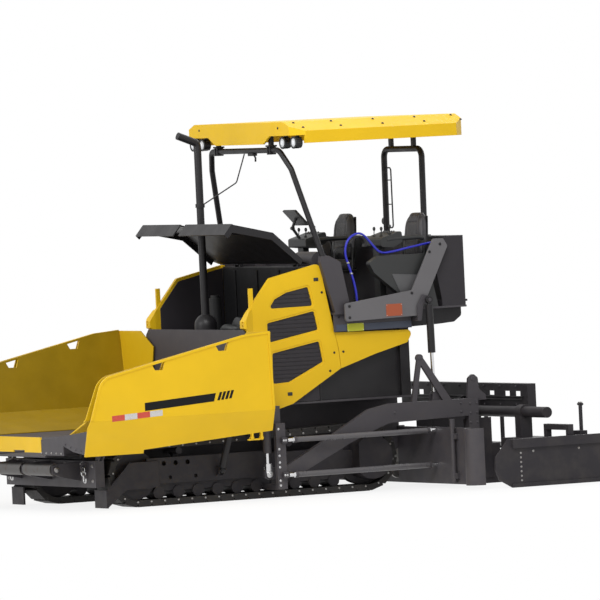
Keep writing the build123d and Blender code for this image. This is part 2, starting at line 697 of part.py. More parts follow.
def make_wing_cylinder_base():
    """Post on the guard plate with the cylinder's lower pin."""
    x = WING_CYLINDER_X
    y, z = WING_CYLINDER_BASE
    face = GUARD_PLATE_Y + GUARD_PLATE_THICK
    cheek = [(face, z - 60), (y, z - 36), (y + 36, z), (y, z + 36), (face, z + 38)]
    base = plate_yz(cheek, (x - 36, x - 22)) + plate_yz(cheek, (x + 22, x + 36))
    base += bar((x - 40, y, z), (x + 40, y, z), 16)
    return base


def make_deflector():
    """Plate that closes the hopper's rear over the tunnel mouth, with the rear wing pins."""
    half = DEFLECTOR_HALF
    low = WING_HINGE_Z - 15
    inner = FRAME_HALF - FRAME_PLATE
    outline = [
        (-half, low),
        (-half, DEFLECTOR_TOP_Z - 60),
        (-half + 60, DEFLECTOR_TOP_Z),
        (half - 60, DEFLECTOR_TOP_Z),
        (half, DEFLECTOR_TOP_Z - 60),
        (half, low),
        (FRAME_HALF + 128, low),
        (FRAME_HALF, CONVEYOR_FLOOR_Z),
        (inner, CONVEYOR_FLOOR_Z),
        (inner, TUNNEL_TOP_Z),
        (-inner, TUNNEL_TOP_Z),
        (-inner, CONVEYOR_FLOOR_Z),
        (-FRAME_HALF, CONVEYOR_FLOOR_Z),
        (-FRAME_HALF - 128, low),
    ]
    plate = plate_yz(outline, DEFLECTOR_X)
    pin = hinge_bar((DEFLECTOR_X[0], WING_REAR_X + 30), WING_PIN_RADIUS)
    boss = hinge_bar((DEFLECTOR_X[1], DEFLECTOR_X[1] + 9), WING_KNUCKLE_RADIUS - 3)
    return plate + both(pin + boss)


def make_side_panel():
    """Yellow engine cover with three windows and the lower rear skirt."""
    y = (PANEL_Y - PANEL_THICK, PANEL_Y)
    outline = [
        (838, 975),
        (838, 1778),
        (869, 1790),
        (869, 1860),
        (799, 1960),
        (519, 2300),
        (-41, 2420),
        (-85, 2395),
        (-262, 1500),
        (-281, 1310),
        (308, 970),
        (569, 900),
        (800, 900),
    ]
    side = rounded(outline, PANEL_CORNER, [5, 6, 7, 10, 11])
    panel = raise_xz(side, y)
    skirt = [
        (-285, 1310),
        (-268, 1500),
        (-228, 1690),
        (-1171, 1672),
        (-1091, 1540),
        (-700, 1440),
    ]
    panel += raise_xz(rounded(skirt, PANEL_CORNER, [3, 4]), y)
    for window in WINDOWS:
        opening = rounded(window, WINDOW_CORNER)
        panel -= raise_xz(opening, (y[0] - 5, y[1] + 5))
        panel -= raise_xz(offset(opening, WINDOW_BORDER), (y[1] - PRESSED, y[1] + 5))
    block_plan = [
        (869, PANEL_Y - 50),
        (869, PANEL_Y + 45),
        (850, PANEL_Y + 65),
        (740, PANEL_Y),
        (740, PANEL_Y - PANEL_THICK),
        (800, PANEL_Y - 50),
    ]
    end_block = plate_xy(block_plan, (1650, 1980)) & raise_xz(side, (PANEL_Y - 60, PANEL_Y + 80))
    for z in (1812, 1846):
        end_block -= block((857, 880), (PANEL_Y - 25, PANEL_Y + 30), (z, z + 14))
    panel += end_block
    return panel + block((722, 768), (PANEL_Y - 32, PANEL_Y - 6), (1990, 2205))


# Outlines of the three grille windows in a side panel, as X, Z pairs, and their slats
WINDOWS = (
    [(540, 1980), (470, 2075), (330, 2140), (69, 2188), (19, 1985)],
    [(569, 1830), (9, 1930), (-31, 1730), (529, 1630), (569, 1650)],
    [(524, 1510), (-36, 1610), (-71, 1390), (339, 1200), (529, 1190)],
)


SLAT_PITCH = 42
SLAT_DEPTH = 6


def make_grilles():
    """Dark lining of both side panels with slatted inserts in their windows."""
    inner = PANEL_Y - PANEL_THICK
    lining = [(735, 985), (735, 1990), (505, 2268), (-34, 2385), (-34, 985)]
    grilles = plate_xz(lining, (inner - LINING, inner))
    for window in WINDOWS:
        opening = rounded(window, WINDOW_CORNER)
        insert = raise_xz(opening, (inner, PANEL_Y - 16))
        low = min(z for x, z in window)
        high = max(z for x, z in window)
        front = max(x for x, z in window)
        rear = min(x for x, z in window)
        for number in range(1, int((high - low) / SLAT_PITCH)):
            z = low + number * SLAT_PITCH
            groove = block((rear, front), (PANEL_Y - 16 - SLAT_DEPTH, PANEL_Y), (z, z + SLAT_PITCH / 3))
            insert -= groove
        grilles += insert
    return both(grilles)


def make_hood():
    """Raised engine hood, one bent sheet with side skirts and a slot for the stack."""
    top = [(1000, 2780), (909, 2887), (421, 2775), (76, 2470), (12, 2444)]
    under = [(12, 2428), (82, 2456), (426, 2760), (906, 2871), (990, 2772)]
    sheet = plate_xz(top + under, (-HOOD_HALF, HOOD_HALF))
    skirt = top[:4] + [(110, 2420), (440, 2700), (900, 2800), (960, 2740)]
    sheet += both(plate_xz(skirt, (HOOD_HALF - HOOD_SHEET, HOOD_HALF)))
    slot = block((STACK_X - 190, 1020), (STACK_Y - 60, STACK_Y + 60), (2600, 3000))
    sheet -= slot
    for y in (-700, 620):
        sheet += across(HOOD_HINGE_X, HOOD_HINGE_Z, (y, y + 80), 16)
        sheet += block((HOOD_HINGE_X, 20), (y, y + 80), (HOOD_HINGE_Z + 4, HOOD_HINGE_Z + 16))
        sheet -= across(HOOD_HINGE_X, HOOD_HINGE_Z, (y - 1, y + 81), 8 + RUNNING_FIT)
    return sheet


def make_engine():
    """Engine block, head cover, air cleaner, filter and radiator on the bay's floor."""
    deck = TUNNEL_TOP_Z + DECK_THICK
    engine = block((-20, 560), (-330, 330), (deck, 1620))
    engine += block((40, 540), (-130, 130), (1620, 1730))
    engine += bar((60, 420, 1760), (560, 420, 1760), 130) + block((260, 340), (300, 460), (1500, 1700))
    engine += bar((500, -212, 1620), (500, -212, 2090), 65) + bar((500, -212, 2090), (500, -212, 2120), 48)
    return engine + block((640, 760), (-900, -350), (deck, 1740))


def make_stack():
    """Muffler and exhaust stack with its slanted outlet and clamp."""
    stack = bar((STACK_X, STACK_Y, 1500), (STACK_X, STACK_Y, MUFFLER_TOP_Z), MUFFLER_RADIUS)
    stack += Pos(STACK_X, STACK_Y, MUFFLER_TOP_Z) * Sphere(MUFFLER_RADIUS)
    stack += block((STACK_X - 60, STACK_X + 60), (STACK_Y - 60, STACK_Y + 60), (1400, 1510))
    stack += block((560, STACK_X), (STACK_Y - 50, STACK_Y + 50), (1400, 1480))
    foot = (STACK_X, STACK_Y, 1880)
    elbow = (STACK_X, STACK_Y, STACK_TOP_Z)
    outlet = (STACK_X + 230, STACK_Y, STACK_TOP_Z + 90)
    stack += bent_bar([foot, elbow, outlet], 60, STACK_RADIUS)
    clamp = STACK_TOP_Z - 660
    stack += bar((STACK_X, STACK_Y, clamp - 20), (STACK_X, STACK_Y, clamp + 20), STACK_RADIUS + 10)
    stay = [(STACK_X - 20, STACK_Y, clamp), (300, 20, clamp + 226), (170, -20, HOOP_TOP_Z - HOOP_RADIUS - 3)]
    return stack + bent_bar(stay, 60, 7)


def make_lift_bracket():
    """Bracket at the platform's edge with the lift cylinder's upper pin."""
    x, z = LIFT_TOP
    cheek = [
        (x - 30, z - 8),
        (x - 20, z + 40),
        (x + 60, z + 60),
        (x + 130, z - 60),
        (x + 130, 1770),
        (x + 84, 1770),
        (x + 54, z - 40),
        (x, z - 34),
    ]
    bracket = plate_xz(cheek, (LIFT_Y - 36, LIFT_Y - 22))
    bracket += across(x, z, (LIFT_Y - 40, LIFT_Y + 26), 18)
    bracket += block((x + 84, x + 130), (PANEL_Y - 45, LIFT_Y - 22), (1765, 1800))
    return bracket


def make_rear_body():
    """Tank and rear housing under the platform, firewall and rear corner posts."""
    deck = TUNNEL_TOP_Z + DECK_THICK
    half = PANEL_Y - 85
    body = block((-1020, -60), (-half, half), (deck, 1880))
    body -= block((-1000, -80), (-half + 20, half - 20), (deck, 1860))
    body += block(FIREWALL_X, (-BAY_HALF, BAY_HALF), (deck, 2400))
    body += both(block((-1130, -1020), (half - 100, BAY_HALF), (deck, 1880)))
    under = [(-1130, 1700), (-1500, 1712), (-1690, 1725), (-1780, 1790), (-1780, 1880), (-1130, 1880)]
    body += both(raise_xz(rounded(under, 40, [2, 3]), (PANEL_Y - 65, PANEL_Y - 45)))
    for y in (-700, 620):
        lug = block((-60, HOOD_HINGE_X + 6), (y - 22, y - 2), (2395, 2440))
        lug += block((-60, HOOD_HINGE_X + 6), (y + 82, y + 102), (2395, 2440))
        body += lug + across(HOOD_HINGE_X, HOOD_HINGE_Z, (y - 22, y + 102), 8)
    return body


def make_seat_base():
    """Pedestal of the left seat."""
    x = SEAT_X
    y = SEAT_Y
    return block((x - 180, x + 180), (y - 180, y + 180), (PLATFORM_Z[1], SEAT_BASE_Z))


def make_platform():
    """Platform floor, front column, bulkhead and steps."""
    floor = block((PLATFORM_REAR_X, PLATFORM_FRONT_X), (-PLATFORM_HALF, PLATFORM_HALF), PLATFORM_Z)
    column = [(-215, 1890), (-60, 2440), (-70, 2500), (-170, 2500), (-300, 2430), (-380, 2020), (-380, 1890)]
    floor += both(plate_xz(column, (PANEL_Y + 5, PLATFORM_HALF)))
    floor += block(BULKHEAD_X, (-PLATFORM_HALF + 60, PLATFORM_HALF - 60), (PLATFORM_Z[1], BULKHEAD_TOP_Z))
    x, y, z = HOSE_ROUTE[0]
    floor += bar((x, y, PLATFORM_Z[1]), (x, y, z), HOSE_RADIUS + 7)
    floor += both(block((-1130, PLATFORM_FRONT_X), (PLATFORM_HALF - 40, PLATFORM_HALF - 25), FASCIA_Z))
    floor += both(across(COWL_X, COWL_Z, COWL_Y, COWL_RADIUS))
    return floor + both(make_seat_base())


def make_platform_guard():
    """Gray side guard with its raked rear bar."""
    outline = [
        (-290, 1990),
        (-1100, 2090),
        (-1380, 2620),
        (-1500, 2620),
        (-1550, 2540),
        (-1180, 1820),
        (-290, 1800),
    ]
    side = rounded(outline, GUARD_CORNER, [0, 2, 3, 4, 6])
    guard = raise_xz(side, (GUARD_Y, GUARD_Y + GUARD_THICK))
    for x in (-400, -1100):
        guard += block((x - 30, x + 30), (PLATFORM_HALF, GUARD_Y), (PLATFORM_Z[0], PLATFORM_Z[1] + 20))
    return guard


def make_cabinet():
    """Rear cabinet on its shelf, with the bracket under it."""
    cabinet = block(CABINET_X, (-PLATFORM_HALF, PLATFORM_HALF), CABINET_Z)
    wall = CABINET_WALL
    inside = PLATFORM_HALF - wall
    cabinet -= block(
        (CABINET_X[0] + wall, CABINET_X[1] - wall), (-inside, inside), (CABINET_Z[0], CABINET_Z[1] - wall)
    )
    shelf_z = CABINET_Z[0] - 22
    cabinet += block((CABINET_X[0] - 22, -1500), (-PLATFORM_HALF, PLATFORM_HALF), (shelf_z, CABINET_Z[0]))
    cabinet += block((CABINET_X[0], -1500), (-PLATFORM_HALF, PLATFORM_HALF), (PLATFORM_Z[1], shelf_z))
    for z in (2150, 2420):
        cabinet -= block((CABINET_X[0] - 5, CABINET_X[0] + 8), (-inside + 60, inside - 60), (z, z + 12))
    cheek = [(CABINET_X[1], 1962), (CABINET_X[1], 2625), (-1450, 2600), (CHEEK_FRONT_X, 2500), (-1500, 1962)]
    cabinet += both(plate_xz(cheek, (inside, PLATFORM_HALF)))
    x, y, z = HOSE_ROUTE[-1]
    return cabinet + bar((CABINET_X[1], y, z), (x, y, z), HOSE_RADIUS + 7)


def make_seat():
    """Soft seat and back at the left operator's place."""
    x = SEAT_X
    y = SEAT_Y
    cushion = block((x - 260, x + 180), (y - 250, y + 250), (SEAT_BASE_Z + 0.3, SEAT_BASE_Z + 120))
    back = [(x - 260, SEAT_BASE_Z + 110), (x - 150, SEAT_BASE_Z + 110), (x - 200, 2900), (x - 290, 2900)]
    return cushion + plate_xz(back, (y - 230, y + 230))


def make_console():
    """Control console on its post."""
    y = CONSOLE_Y
    case = [(-850, 2650), (-1100, 2722), (-1110, 2605), (-1000, 2545), (-850, 2560)]
    console = raise_xz(rounded(case, 25), (y - 200, y + 200))
    return console + block((-960, -890), (y - 60, y + 60), (PLATFORM_Z[1], 2580))


def make_display():
    """Display that faces the right operator, on its bent neck."""
    y = -CONSOLE_Y
    panel = [(-765, 2955), (-780, 2968), (-932, 2808), (-917, 2795)]
    display = plate_xz(panel, (y - 140, y + 140))
    display += bar((-900, y, 2640), (-805, y, 2770), 16)
    return display + bar((-805, y, 2770), (-850, y, 2880), 16) + across(-805, 2770, (y - 18, y + 18), 20)


def make_side_box():
    """Cover between the seat and the side guard, pointed at its front."""
    top = SIDE_BOX_TOP_Z
    foot = PLATFORM_Z[1]
    case = [(-640, 2400), (-760, top), (-1330, top), (-1450, foot), (-1180, foot), (-700, 2290)]
    return raise_xz(rounded(case, 30, [0, 1, 2, 5]), SIDE_BOX_Y)


def cord_radii(route):
    """The radius at each corner of a free hose: as large as its two runs allow."""
    radii = []
    for before, corner, after in zip(route, route[1:], route[2:]):
        come = Vector(*corner) - Vector(*before)
        leave = Vector(*after) - Vector(*corner)
        turn = math.radians(come.get_angle(leave))
        radii.append(0.45 * min(come.length, leave.length) / math.tan(turn / 2))
    return radii


def make_hose():
    """Water hose from its floor fitting over the guide to the cabinet."""
    radii = cord_radii(HOSE_ROUTE)
    print("hose radii", [round(radius) for radius in radii])
    path = FilletPolyline(*HOSE_ROUTE, radius=radii)
    section = Plane(origin=path @ 0, z_dir=path % 0) * Circle(HOSE_RADIUS)
    hose = sweep(section, path=path)
    filled = hose.volume / (path.length * math.pi * HOSE_RADIUS**2)
    print("hose length", round(path.length), "and its volume as a share of section times length", filled)
    return hose


def make_hose_guide():
    """Round saddle inside the hose's arch, on a bent rod from the bulkhead's top."""
    x, y, z = HOSE_SADDLE
    wide = (y - 44, y + 14)
    saddle = across(x, z, wide, HOSE_SADDLE_RADIUS) - across(x, z, wide, HOSE_SADDLE_RADIUS - 22)
    saddle -= block((x - 120, x + 120), wide, (z - 120, z - 35))
    end = (x + HOSE_SADDLE_RADIUS - 12, y - 30, z)
    foot = (BULKHEAD_X[0] + 35, y - 30, BULKHEAD_TOP_Z)
    return saddle + bent_bar([foot, (foot[0], foot[1], BULKHEAD_TOP_Z + 140), end], 60, 10)


def make_front_hoop():
    """Front canopy hoop leaning back to the columns."""
    foot_y = PANEL_Y + 37
    points = [
        (-123, foot_y, 2440),
        (105, foot_y - 217, HOOP_TOP_Z - 205),
        (170, foot_y - 352, HOOP_TOP_Z),
        (170, 352 - foot_y, HOOP_TOP_Z),
        (105, 217 - foot_y, HOOP_TOP_Z - 205),
        (-123, -foot_y, 2440),
    ]
    hoop = bent_bar(points, 100, HOOP_RADIUS)
    hoop -= block((-300, 100), (-PLATFORM_HALF - 50, PLATFORM_HALF + 50), (2300, 2500))
    for y in (-600, 600):
        hoop += block((150, 190), (y - 25, y + 25), (HOOP_TOP_Z + 10, CANOPY_CROWN_Z - CANOPY_SKIN))
    return hoop


def make_rear_hoop():
    """Rear canopy hoop on the cabinet."""
    x = REAR_HOOP_X
    top = REAR_HOOP_TOP_Z
    foot = CABINET_Z[1] - 40
    points = [(x, 420, foot), (x - 10, 420, top), (x - 10, -420, top), (x, -420, foot)]
    hoop = bent_bar(points, 90, HOOP_RADIUS + 3)
    hoop -= block((x - 90, x + 120), (-500, 500), (foot - 100, CABINET_Z[1]))
    for y in (-250, 250):
        hoop += block((x - 30, x + 10), (y - 25, y + 25), (top + 20, CANOPY_CROWN_Z - CANOPY_SKIN))
    for y in (-420, 420):
        hoop += block((x - 50, x + 50), (y - 50, y + 50), (CABINET_Z[1], CABINET_Z[1] + 10))
    return hoop


def crown_outline(skin):
    """The canopy's section across the machine, this far inside its outer faces."""
    half = CANOPY_HALF - skin
    low = CANOPY_Z[0] - 1
    edge = CANOPY_Z[1] - skin
    top = CANOPY_CROWN_Z - skin
    flat = CANOPY_HALF - 260
    return [(-half, low), (-half, edge), (-flat, top), (flat, top), (half, edge), (half, low)]


def offset_rim(rim, skin):
    """The canopy's plan outline drawn in by the skin's thickness."""
    middle = (CANOPY_X[0] + CANOPY_X[1]) / 2
    return [(x - math.copysign(skin, x - middle), y - math.copysign(skin, y)) for x, y in rim]


def make_canopy():
    """Canopy roof: a shallow crowned tray with chamfered corners, open below."""
    x0, x1 = CANOPY_X
    half = CANOPY_HALF
    cut = CANOPY_CORNER
    rim = [
        (x0 + cut, -half),
        (x1 - cut, -half),
        (x1, -half + cut),
        (x1, half - cut),
        (x1 - cut, half),
        (x0 + cut, half),
        (x0, half - cut),
        (x0, -half + cut),
    ]
    roof = plate_xy(rim, (CANOPY_Z[0], CANOPY_CROWN_Z))
    roof &= plate_yz(crown_outline(0), CANOPY_X)
    space = plate_xy(offset_rim(rim, CANOPY_SKIN), (CANOPY_Z[0] - 1, CANOPY_CROWN_Z))
    roof -= space & plate_yz(crown_outline(CANOPY_SKIN), CANOPY_X)
    low = CANOPY_Z[0] - 1
    high = CANOPY_Z[0] + CANOPY_NOTCH_RISE
    inner, outer = CANOPY_NOTCH_Y
    notch = [(inner, low), (outer, high), (half + 1, high), (half + 1, low)]
    return roof - both(plate_yz(notch, (x1 - cut, x1 + 1)))


def make_lamps():
    """Two round work lamps under each front corner of the canopy."""
    lamps = None
    under_roof = plate_yz(crown_outline(CANOPY_SKIN), CANOPY_X)
    z = CANOPY_Z[0] + 10
    for x, y in LAMP_PLACES:
        lamp = bar((x - LAMP_DEPTH, y, z), (x, y, z), LAMP_RADIUS)
        lamp += bar((x, y, z), (x + 8, y, z), LAMP_RADIUS + 5)
        lamp -= bar((x, y, z), (x + 9, y, z), LAMP_RADIUS - 6)
        stem = block((x - 60, x - 30), (y - 20, y + 20), (z + LAMP_RADIUS - 10, CANOPY_CROWN_Z))
        lamp += stem & under_roof
        lamps = lamp if lamps is None else lamps + lamp
    return both(lamps)


def make_tow_guides():
    """Guide beams at the tow points with their brackets across to the frame."""
    guide = block(GUIDE_X, GUIDE_Y, GUIDE_Z)
    top = GUIDE_Z[1]
    guide += block((620, 700), (FRAME_HALF, GUIDE_Y[0]), (top - 60, top))
    guide += block((612, 678), (FRAME_BEAM_Y[1], GUIDE_Y[0]), (90, 150))
    head_y = (ARM_Y[0] - 10, ARM_Y[1] + 10)
    return guide + block((700, 830), head_y, (940, 970)) + block((620, 700), head_y, (top, 970))


def make_level_cylinder():
    """Levelling cylinder, barrel above and chrome rod down to the tow point."""
    y = (ARM_Y[0] + ARM_Y[1]) / 2
    barrel = bar((TOW_X, y, 480), (TOW_X, y, 940), 45)
    rod = bar((TOW_X, y, TOW_Z + 95), (TOW_X, y, 480), 22)
    rod += block((TOW_X - 35, TOW_X + 35), ARM_Y, (TOW_Z + 80, TOW_Z + 110))
    cheek = [(TOW_X - 35, TOW_Z), (TOW_X - 35, TOW_Z + 100), (TOW_X + 35, TOW_Z + 100), (TOW_X + 35, TOW_Z)]
    for side in ((ARM_Y[0], ARM_Y[0] + 12), (ARM_Y[1] - 12, ARM_Y[1])):
        rod += plate_xz(cheek, side) + across(TOW_X, TOW_Z, side, 35)
    return barrel, rod + across(TOW_X, TOW_Z, ARM_Y, TOW_PIN_RADIUS)


def make_tow_arm():
    """Tow arm from its fork at the tow point back to the screed."""
    outline = [
        (TOW_X, 205),
        (TOW_X + 50, 230),
        (TOW_X + 50, 300),
        (TOW_X + 10, 325),
        (TOW_X - 170, 330),
        (528, 350),
        (-69, 666),
        (-441, 869),
        (-690, 915),
        (-1700, 915),
        (-1700, 735),
        (-690, 712),
        (-575, 675),
        (-230, 540),
        (337, 273),
        (690, 205),
    ]
    arm = raise_xz(rounded(outline, ARM_BEND, [6, 7, 8, 13, 14]), ARM_Y)
    y = (ARM_Y[0] + ARM_Y[1]) / 2
    for side in ((ARM_Y[0] - 1, y - 16), (y + 16, ARM_Y[1] + 1)):
        arm -= block((TOW_X - 70, TOW_X + 80), side, (150, 420))
    arm -= across(TOW_X, TOW_Z, ARM_Y, TOW_PIN_RADIUS + RUNNING_FIT)
    arm += block((-1760, -1640), (SCREED_HALF + 12, ARM_Y[1]), (SCREED_TOP_Z, 905))
    brace_y = (ARM_Y[0] + 20, ARM_Y[1] - 4)
    apex_x, apex_z = BRACE_APEX
    front_leg = [(-1020, 905), (-965, 905), (apex_x + 26, apex_z), (apex_x - 26, apex_z)]
    rear_leg = [(apex_x - 38, apex_z), (apex_x + 38, apex_z), (-1345, 905), (-1450, 905)]
    arm += plate_xz(front_leg, brace_y) + plate_xz(rear_leg, brace_y) + across(apex_x, apex_z, brace_y, 40)
    arm -= across(apex_x, apex_z, (ARM_Y[0], ARM_Y[1] + 1), 14)
    tower = [(-1790, 905), (-1775, 1130), (-1720, 1175), (-1660, 1130), (-1640, 905)]
    arm += raise_xz(rounded(tower, 34, [1, 2, 3]), (ARM_Y[0] + 10, ARM_Y[1] - 15))
    arm -= across(-1718, 1120, (ARM_Y[0], ARM_Y[1] + 1), 16)
    stay = [(-1700, 1060), (-1690, 1100), (-1870, 940), (-1870, 890), (-1780, 890)]
    arm += plate_xz(stay, (ARM_Y[0] + 24, ARM_Y[1] - 24))
    x = LIFT_EYE[0]
    lug = [(x - 50, 880), (x - 30, 1010), (x + 30, 1010), (x + 50, 880)]
    for side in ((LIFT_Y - 40, LIFT_Y - 25), (LIFT_Y + 25, LIFT_Y + 40)):
        arm += plate_xz(lug, side)
    arm += block((x - 50, x + 50), (LIFT_Y - 40, ARM_Y[0]), (850, 900))
    return arm


def make_lift_cylinder():
    """Lift cylinder: eyes turn about Y."""
    base = (LIFT_TOP[0], LIFT_Y, LIFT_TOP[1])
    eye = (LIFT_EYE[0], LIFT_Y, LIFT_EYE[1])
    barrel, rod = cylinder_pair(base, eye, LIFT_BARREL_RADIUS, LIFT_ROD_RADIUS, LIFT_BARREL_LENGTH, 370)
    half = 20
    hole = across(base[0], base[2], (LIFT_Y - half, LIFT_Y + half), 18 + RUNNING_FIT)
    barrel = barrel + across(base[0], base[2], (LIFT_Y - half, LIFT_Y + half), 38) - hole
    rod = rod + across(eye[0], eye[2], (LIFT_Y - half, LIFT_Y + half), 30)
    return barrel, rod


def make_auger():
    """Auger half: shaft with half-turn flights set at the pitch angle."""
    low, high = AUGER_Y
    auger = across(AUGER_X, AUGER_Z, (low, high), AUGER_SHAFT_RADIUS)
    auger -= across(AUGER_X, AUGER_Z, (low, low + 50), AUGER_PIN_RADIUS + RUNNING_FIT)
    auger -= across(AUGER_X, AUGER_Z, (high - 50, high), AUGER_PIN_RADIUS + RUNNING_FIT)
    tilt = math.degrees(math.atan(AUGER_PITCH / 2 / (2 * AUGER_RADIUS * 0.8)))
    count = int((high - low - 60) // (AUGER_PITCH / 2))
    for number in range(count):
        y = low + 90 + number * AUGER_PITCH / 2
        up = 1 if number % 2 == 0 else -1
        half_disc = Pos(0, up * AUGER_RADIUS / 2, 0) * Box(2 * AUGER_RADIUS, AUGER_RADIUS, 60)
        flight = Cylinder(AUGER_RADIUS, 14) & half_disc
        place = Pos(AUGER_X, y, AUGER_Z) * Rot(0, 0, up * tilt) * Rot(-90, 0, 0)
        auger += place * flight
    return auger


def make_auger_case():
    """Chain case between the halves, with the outer hangers."""
    case = [(-1200, 420), (-1200, 955), (-1250, 900), (-1470, 330), (-1470, 190), (-1400, 150), (-1320, 190)]
    frame = plate_xz(case, (-52, 52))
    inner = FRAME_HALF - FRAME_PLATE
    frame += block((-1200, -1170), (-inner, inner), (900, 955))
    frame += both(across(AUGER_X, AUGER_Z, (50, AUGER_Y[0] + 45), AUGER_PIN_RADIUS))
    hanger = [(-1200, 640), (-1200, 560), (-1330, 200), (-1470, 200), (-1470, 300), (-1260, 640)]
    frame += both(plate_xz(hanger, (AUGER_Y[1] + 8, AUGER_Y[1] + 24)))
    return frame + both(across(AUGER_X, AUGER_Z, (AUGER_Y[1] - 45, AUGER_Y[1] + 24), AUGER_PIN_RADIUS))


def make_channel_plate():
    """Plate in front of the auger with its hinge post, round end shield and the two push struts."""
    plate = block(CHANNEL_PLATE_X, CHANNEL_PLATE_Y, CHANNEL_PLATE_Z)
    back, front = CHANNEL_PLATE_X
    low, high = CHANNEL_PLATE_Z
    shield = bar((back, SHIELD_Y, low), (back, SHIELD_Y, high), SHIELD_RADIUS)
    shield -= bar((back, SHIELD_Y, low), (back, SHIELD_Y, high), SHIELD_RADIUS - (front - back))
    reach = SHIELD_RADIUS + 1
    plate += shield & block((back, back + reach), (SHIELD_Y - reach, SHIELD_Y + reach), CHANNEL_PLATE_Z)
    post_x = CHANNEL_PLATE_X[1] + 34
    plate += bar((post_x, HINGE_POST_Y, low + 20), (post_x, HINGE_POST_Y, high + 90), 26)
    for z in (low + 60, high - 120):
        plate += block((CHANNEL_PLATE_X[1], post_x), (HINGE_POST_Y - 60, HINGE_POST_Y + 60), (z, z + 60))
    guide_end = GUIDE_X[0] + 60
    for z in STRUT_Z:
        plate += bar((CHANNEL_PLATE_X[1], STRUT_Y, z), (STRUT_JOINT_X[0], STRUT_Y, z), STRUT_END_RADIUS)
        plate += bar((STRUT_JOINT_X[0], STRUT_Y, z), (STRUT_JOINT_X[1], STRUT_Y, z), STRUT_RADIUS)
        plate += bar((STRUT_JOINT_X[1], STRUT_Y, z), (GUIDE_X[0], STRUT_Y, z), STRUT_END_RADIUS)
        for x in STRUT_JOINT_X:
            plate += bar((x - 14, STRUT_Y, z), (x + 14, STRUT_Y, z), STRUT_RADIUS + 7)
        plate += block((GUIDE_X[0], guide_end), (GUIDE_Y[1], STRUT_Y + 30), (z - 30, z + 30))
    return plate


def make_screed():
    """Main screed with its rear beam, carriers, slide tube and walkway."""
    body = [
        (SCREED_X[1], 70),
        (SCREED_X[1] - 40, 0),
        (SCREED_X[0], 0),
        (SCREED_X[0], SCREED_TOP_Z),
        (SCREED_X[1] - 40, SCREED_TOP_Z),
        (SCREED_X[1], SCREED_TOP_Z - 60),
    ]
    screed = plate_xz(body, (-SCREED_HALF, SCREED_HALF))
    screed += both(block((-1960, SCREED_X[1] - 20), (SCREED_HALF, SCREED_HALF + 12), (60, 700)))
    screed += block(REAR_BEAM_X, (-REAR_BEAM_HALF, REAR_BEAM_HALF), (REAR_BEAM_Z[1] - 60, REAR_BEAM_Z[1]))
    screed += block(REAR_BEAM_X, (-REAR_BEAM_HALF, REAR_BEAM_HALF), (REAR_BEAM_Z[0], REAR_BEAM_Z[0] + 50))
    for y in (-REAR_BEAM_HALF, *CARRIER_Y, REAR_BEAM_HALF - CARRIER_THICK):
        screed += block(REAR_BEAM_X, (y, y + CARRIER_THICK), REAR_BEAM_Z)
    web_x = (REAR_BEAM_X[1] - 12, REAR_BEAM_X[1])
    web = block(web_x, (-REAR_BEAM_HALF, REAR_BEAM_HALF), REAR_BEAM_Z)
    hole_x = (web_x[0] - 1, web_x[1] + 1)
    hole_z = (REAR_BEAM_Z[0] + 110, REAR_BEAM_Z[1] - 80)
    for y in REAR_BEAM_HOLES:
        web -= both(block(hole_x, (y, y + 110), hole_z))
    screed += web
    carrier = [
        (SCREED_X[0] + 120, SCREED_TOP_Z),
        (SCREED_X[0] + 120, 700),
        (REAR_BEAM_X[1], 900),
        (REAR_BEAM_X[1], 560),
        (SCREED_X[0], 560),
        (SCREED_X[0], SCREED_TOP_Z),
    ]
    hanger = [
        (REAR_BEAM_X[0], 800),
        (REAR_BEAM_X[0], 900),
        (-2620, 880),
        (-2620, WALKWAY_Z[1]),
        (-2580, WALKWAY_Z[1]),
        (-2580, 800),
    ]
    for y in CARRIER_Y:
        screed += plate_xz(carrier, (y, y + CARRIER_THICK)) + plate_xz(hanger, (y, y + CARRIER_THICK))
    screed += across(SLIDE_TUBE_X, SLIDE_TUBE_Z, (-SLIDE_TUBE_HALF, SLIDE_TUBE_HALF), SLIDE_TUBE_RADIUS)
    return screed + block(WALKWAY_X, (-SCREED_HALF, SCREED_HALF), WALKWAY_Z)


def make_extension():
    """Sliding extension with its sleeve on the slide tube and its walkway."""
    body = [
        (EXT_X[1], 70),
        (EXT_X[1] - 40, 0),
        (EXT_X[0], 0),
        (EXT_X[0], EXT_TOP_Z - 60),
        (EXT_X[0] + 60, EXT_TOP_Z),
        (EXT_X[1], EXT_TOP_Z),
    ]
    extension = plate_xz(body, EXT_Y)
    sleeve = across(SLIDE_TUBE_X, SLIDE_TUBE_Z, SLEEVE_Y, SLIDE_TUBE_RADIUS + SLEEVE_WALL)
    sleeve += block((SLIDE_TUBE_X - 70, SLIDE_TUBE_X + 70), SLEEVE_Y, (EXT_TOP_Z, SLIDE_TUBE_Z))
    sleeve -= across(SLIDE_TUBE_X, SLIDE_TUBE_Z, SLEEVE_Y, SLIDE_TUBE_RADIUS + RUNNING_FIT)
    extension += sleeve
    crank_x = EXT_X[0] + 20
    crank_y = EXT_Y[1] - 220
    extension += bar((crank_x, crank_y, EXT_TOP_Z - 70), (crank_x, crank_y, 830), 20)
    extension += block((crank_x - 20, crank_x + 70), (crank_y - 90, crank_y + 90), (EXT_TOP_Z - 60, 540))
    extension += across(crank_x, 816, (crank_y - 45, crank_y + 45), 13)
    rail_y = (SLEEVE_Y[1] + 420, EXT_Y[1])
    extension += block((SLIDE_TUBE_X - 30, SLIDE_TUBE_X + 30), rail_y, (560, 620))
    for y in (rail_y[0], rail_y[1] - 60):
        extension += block((SLIDE_TUBE_X - 30, SLIDE_TUBE_X + 30), (y, y + 60), (EXT_TOP_Z, 560))
    extension += block((-3000, EXT_X[0]), (EXT_Y[0] + 20, EXT_Y[1]), (285, 305))
    return extension


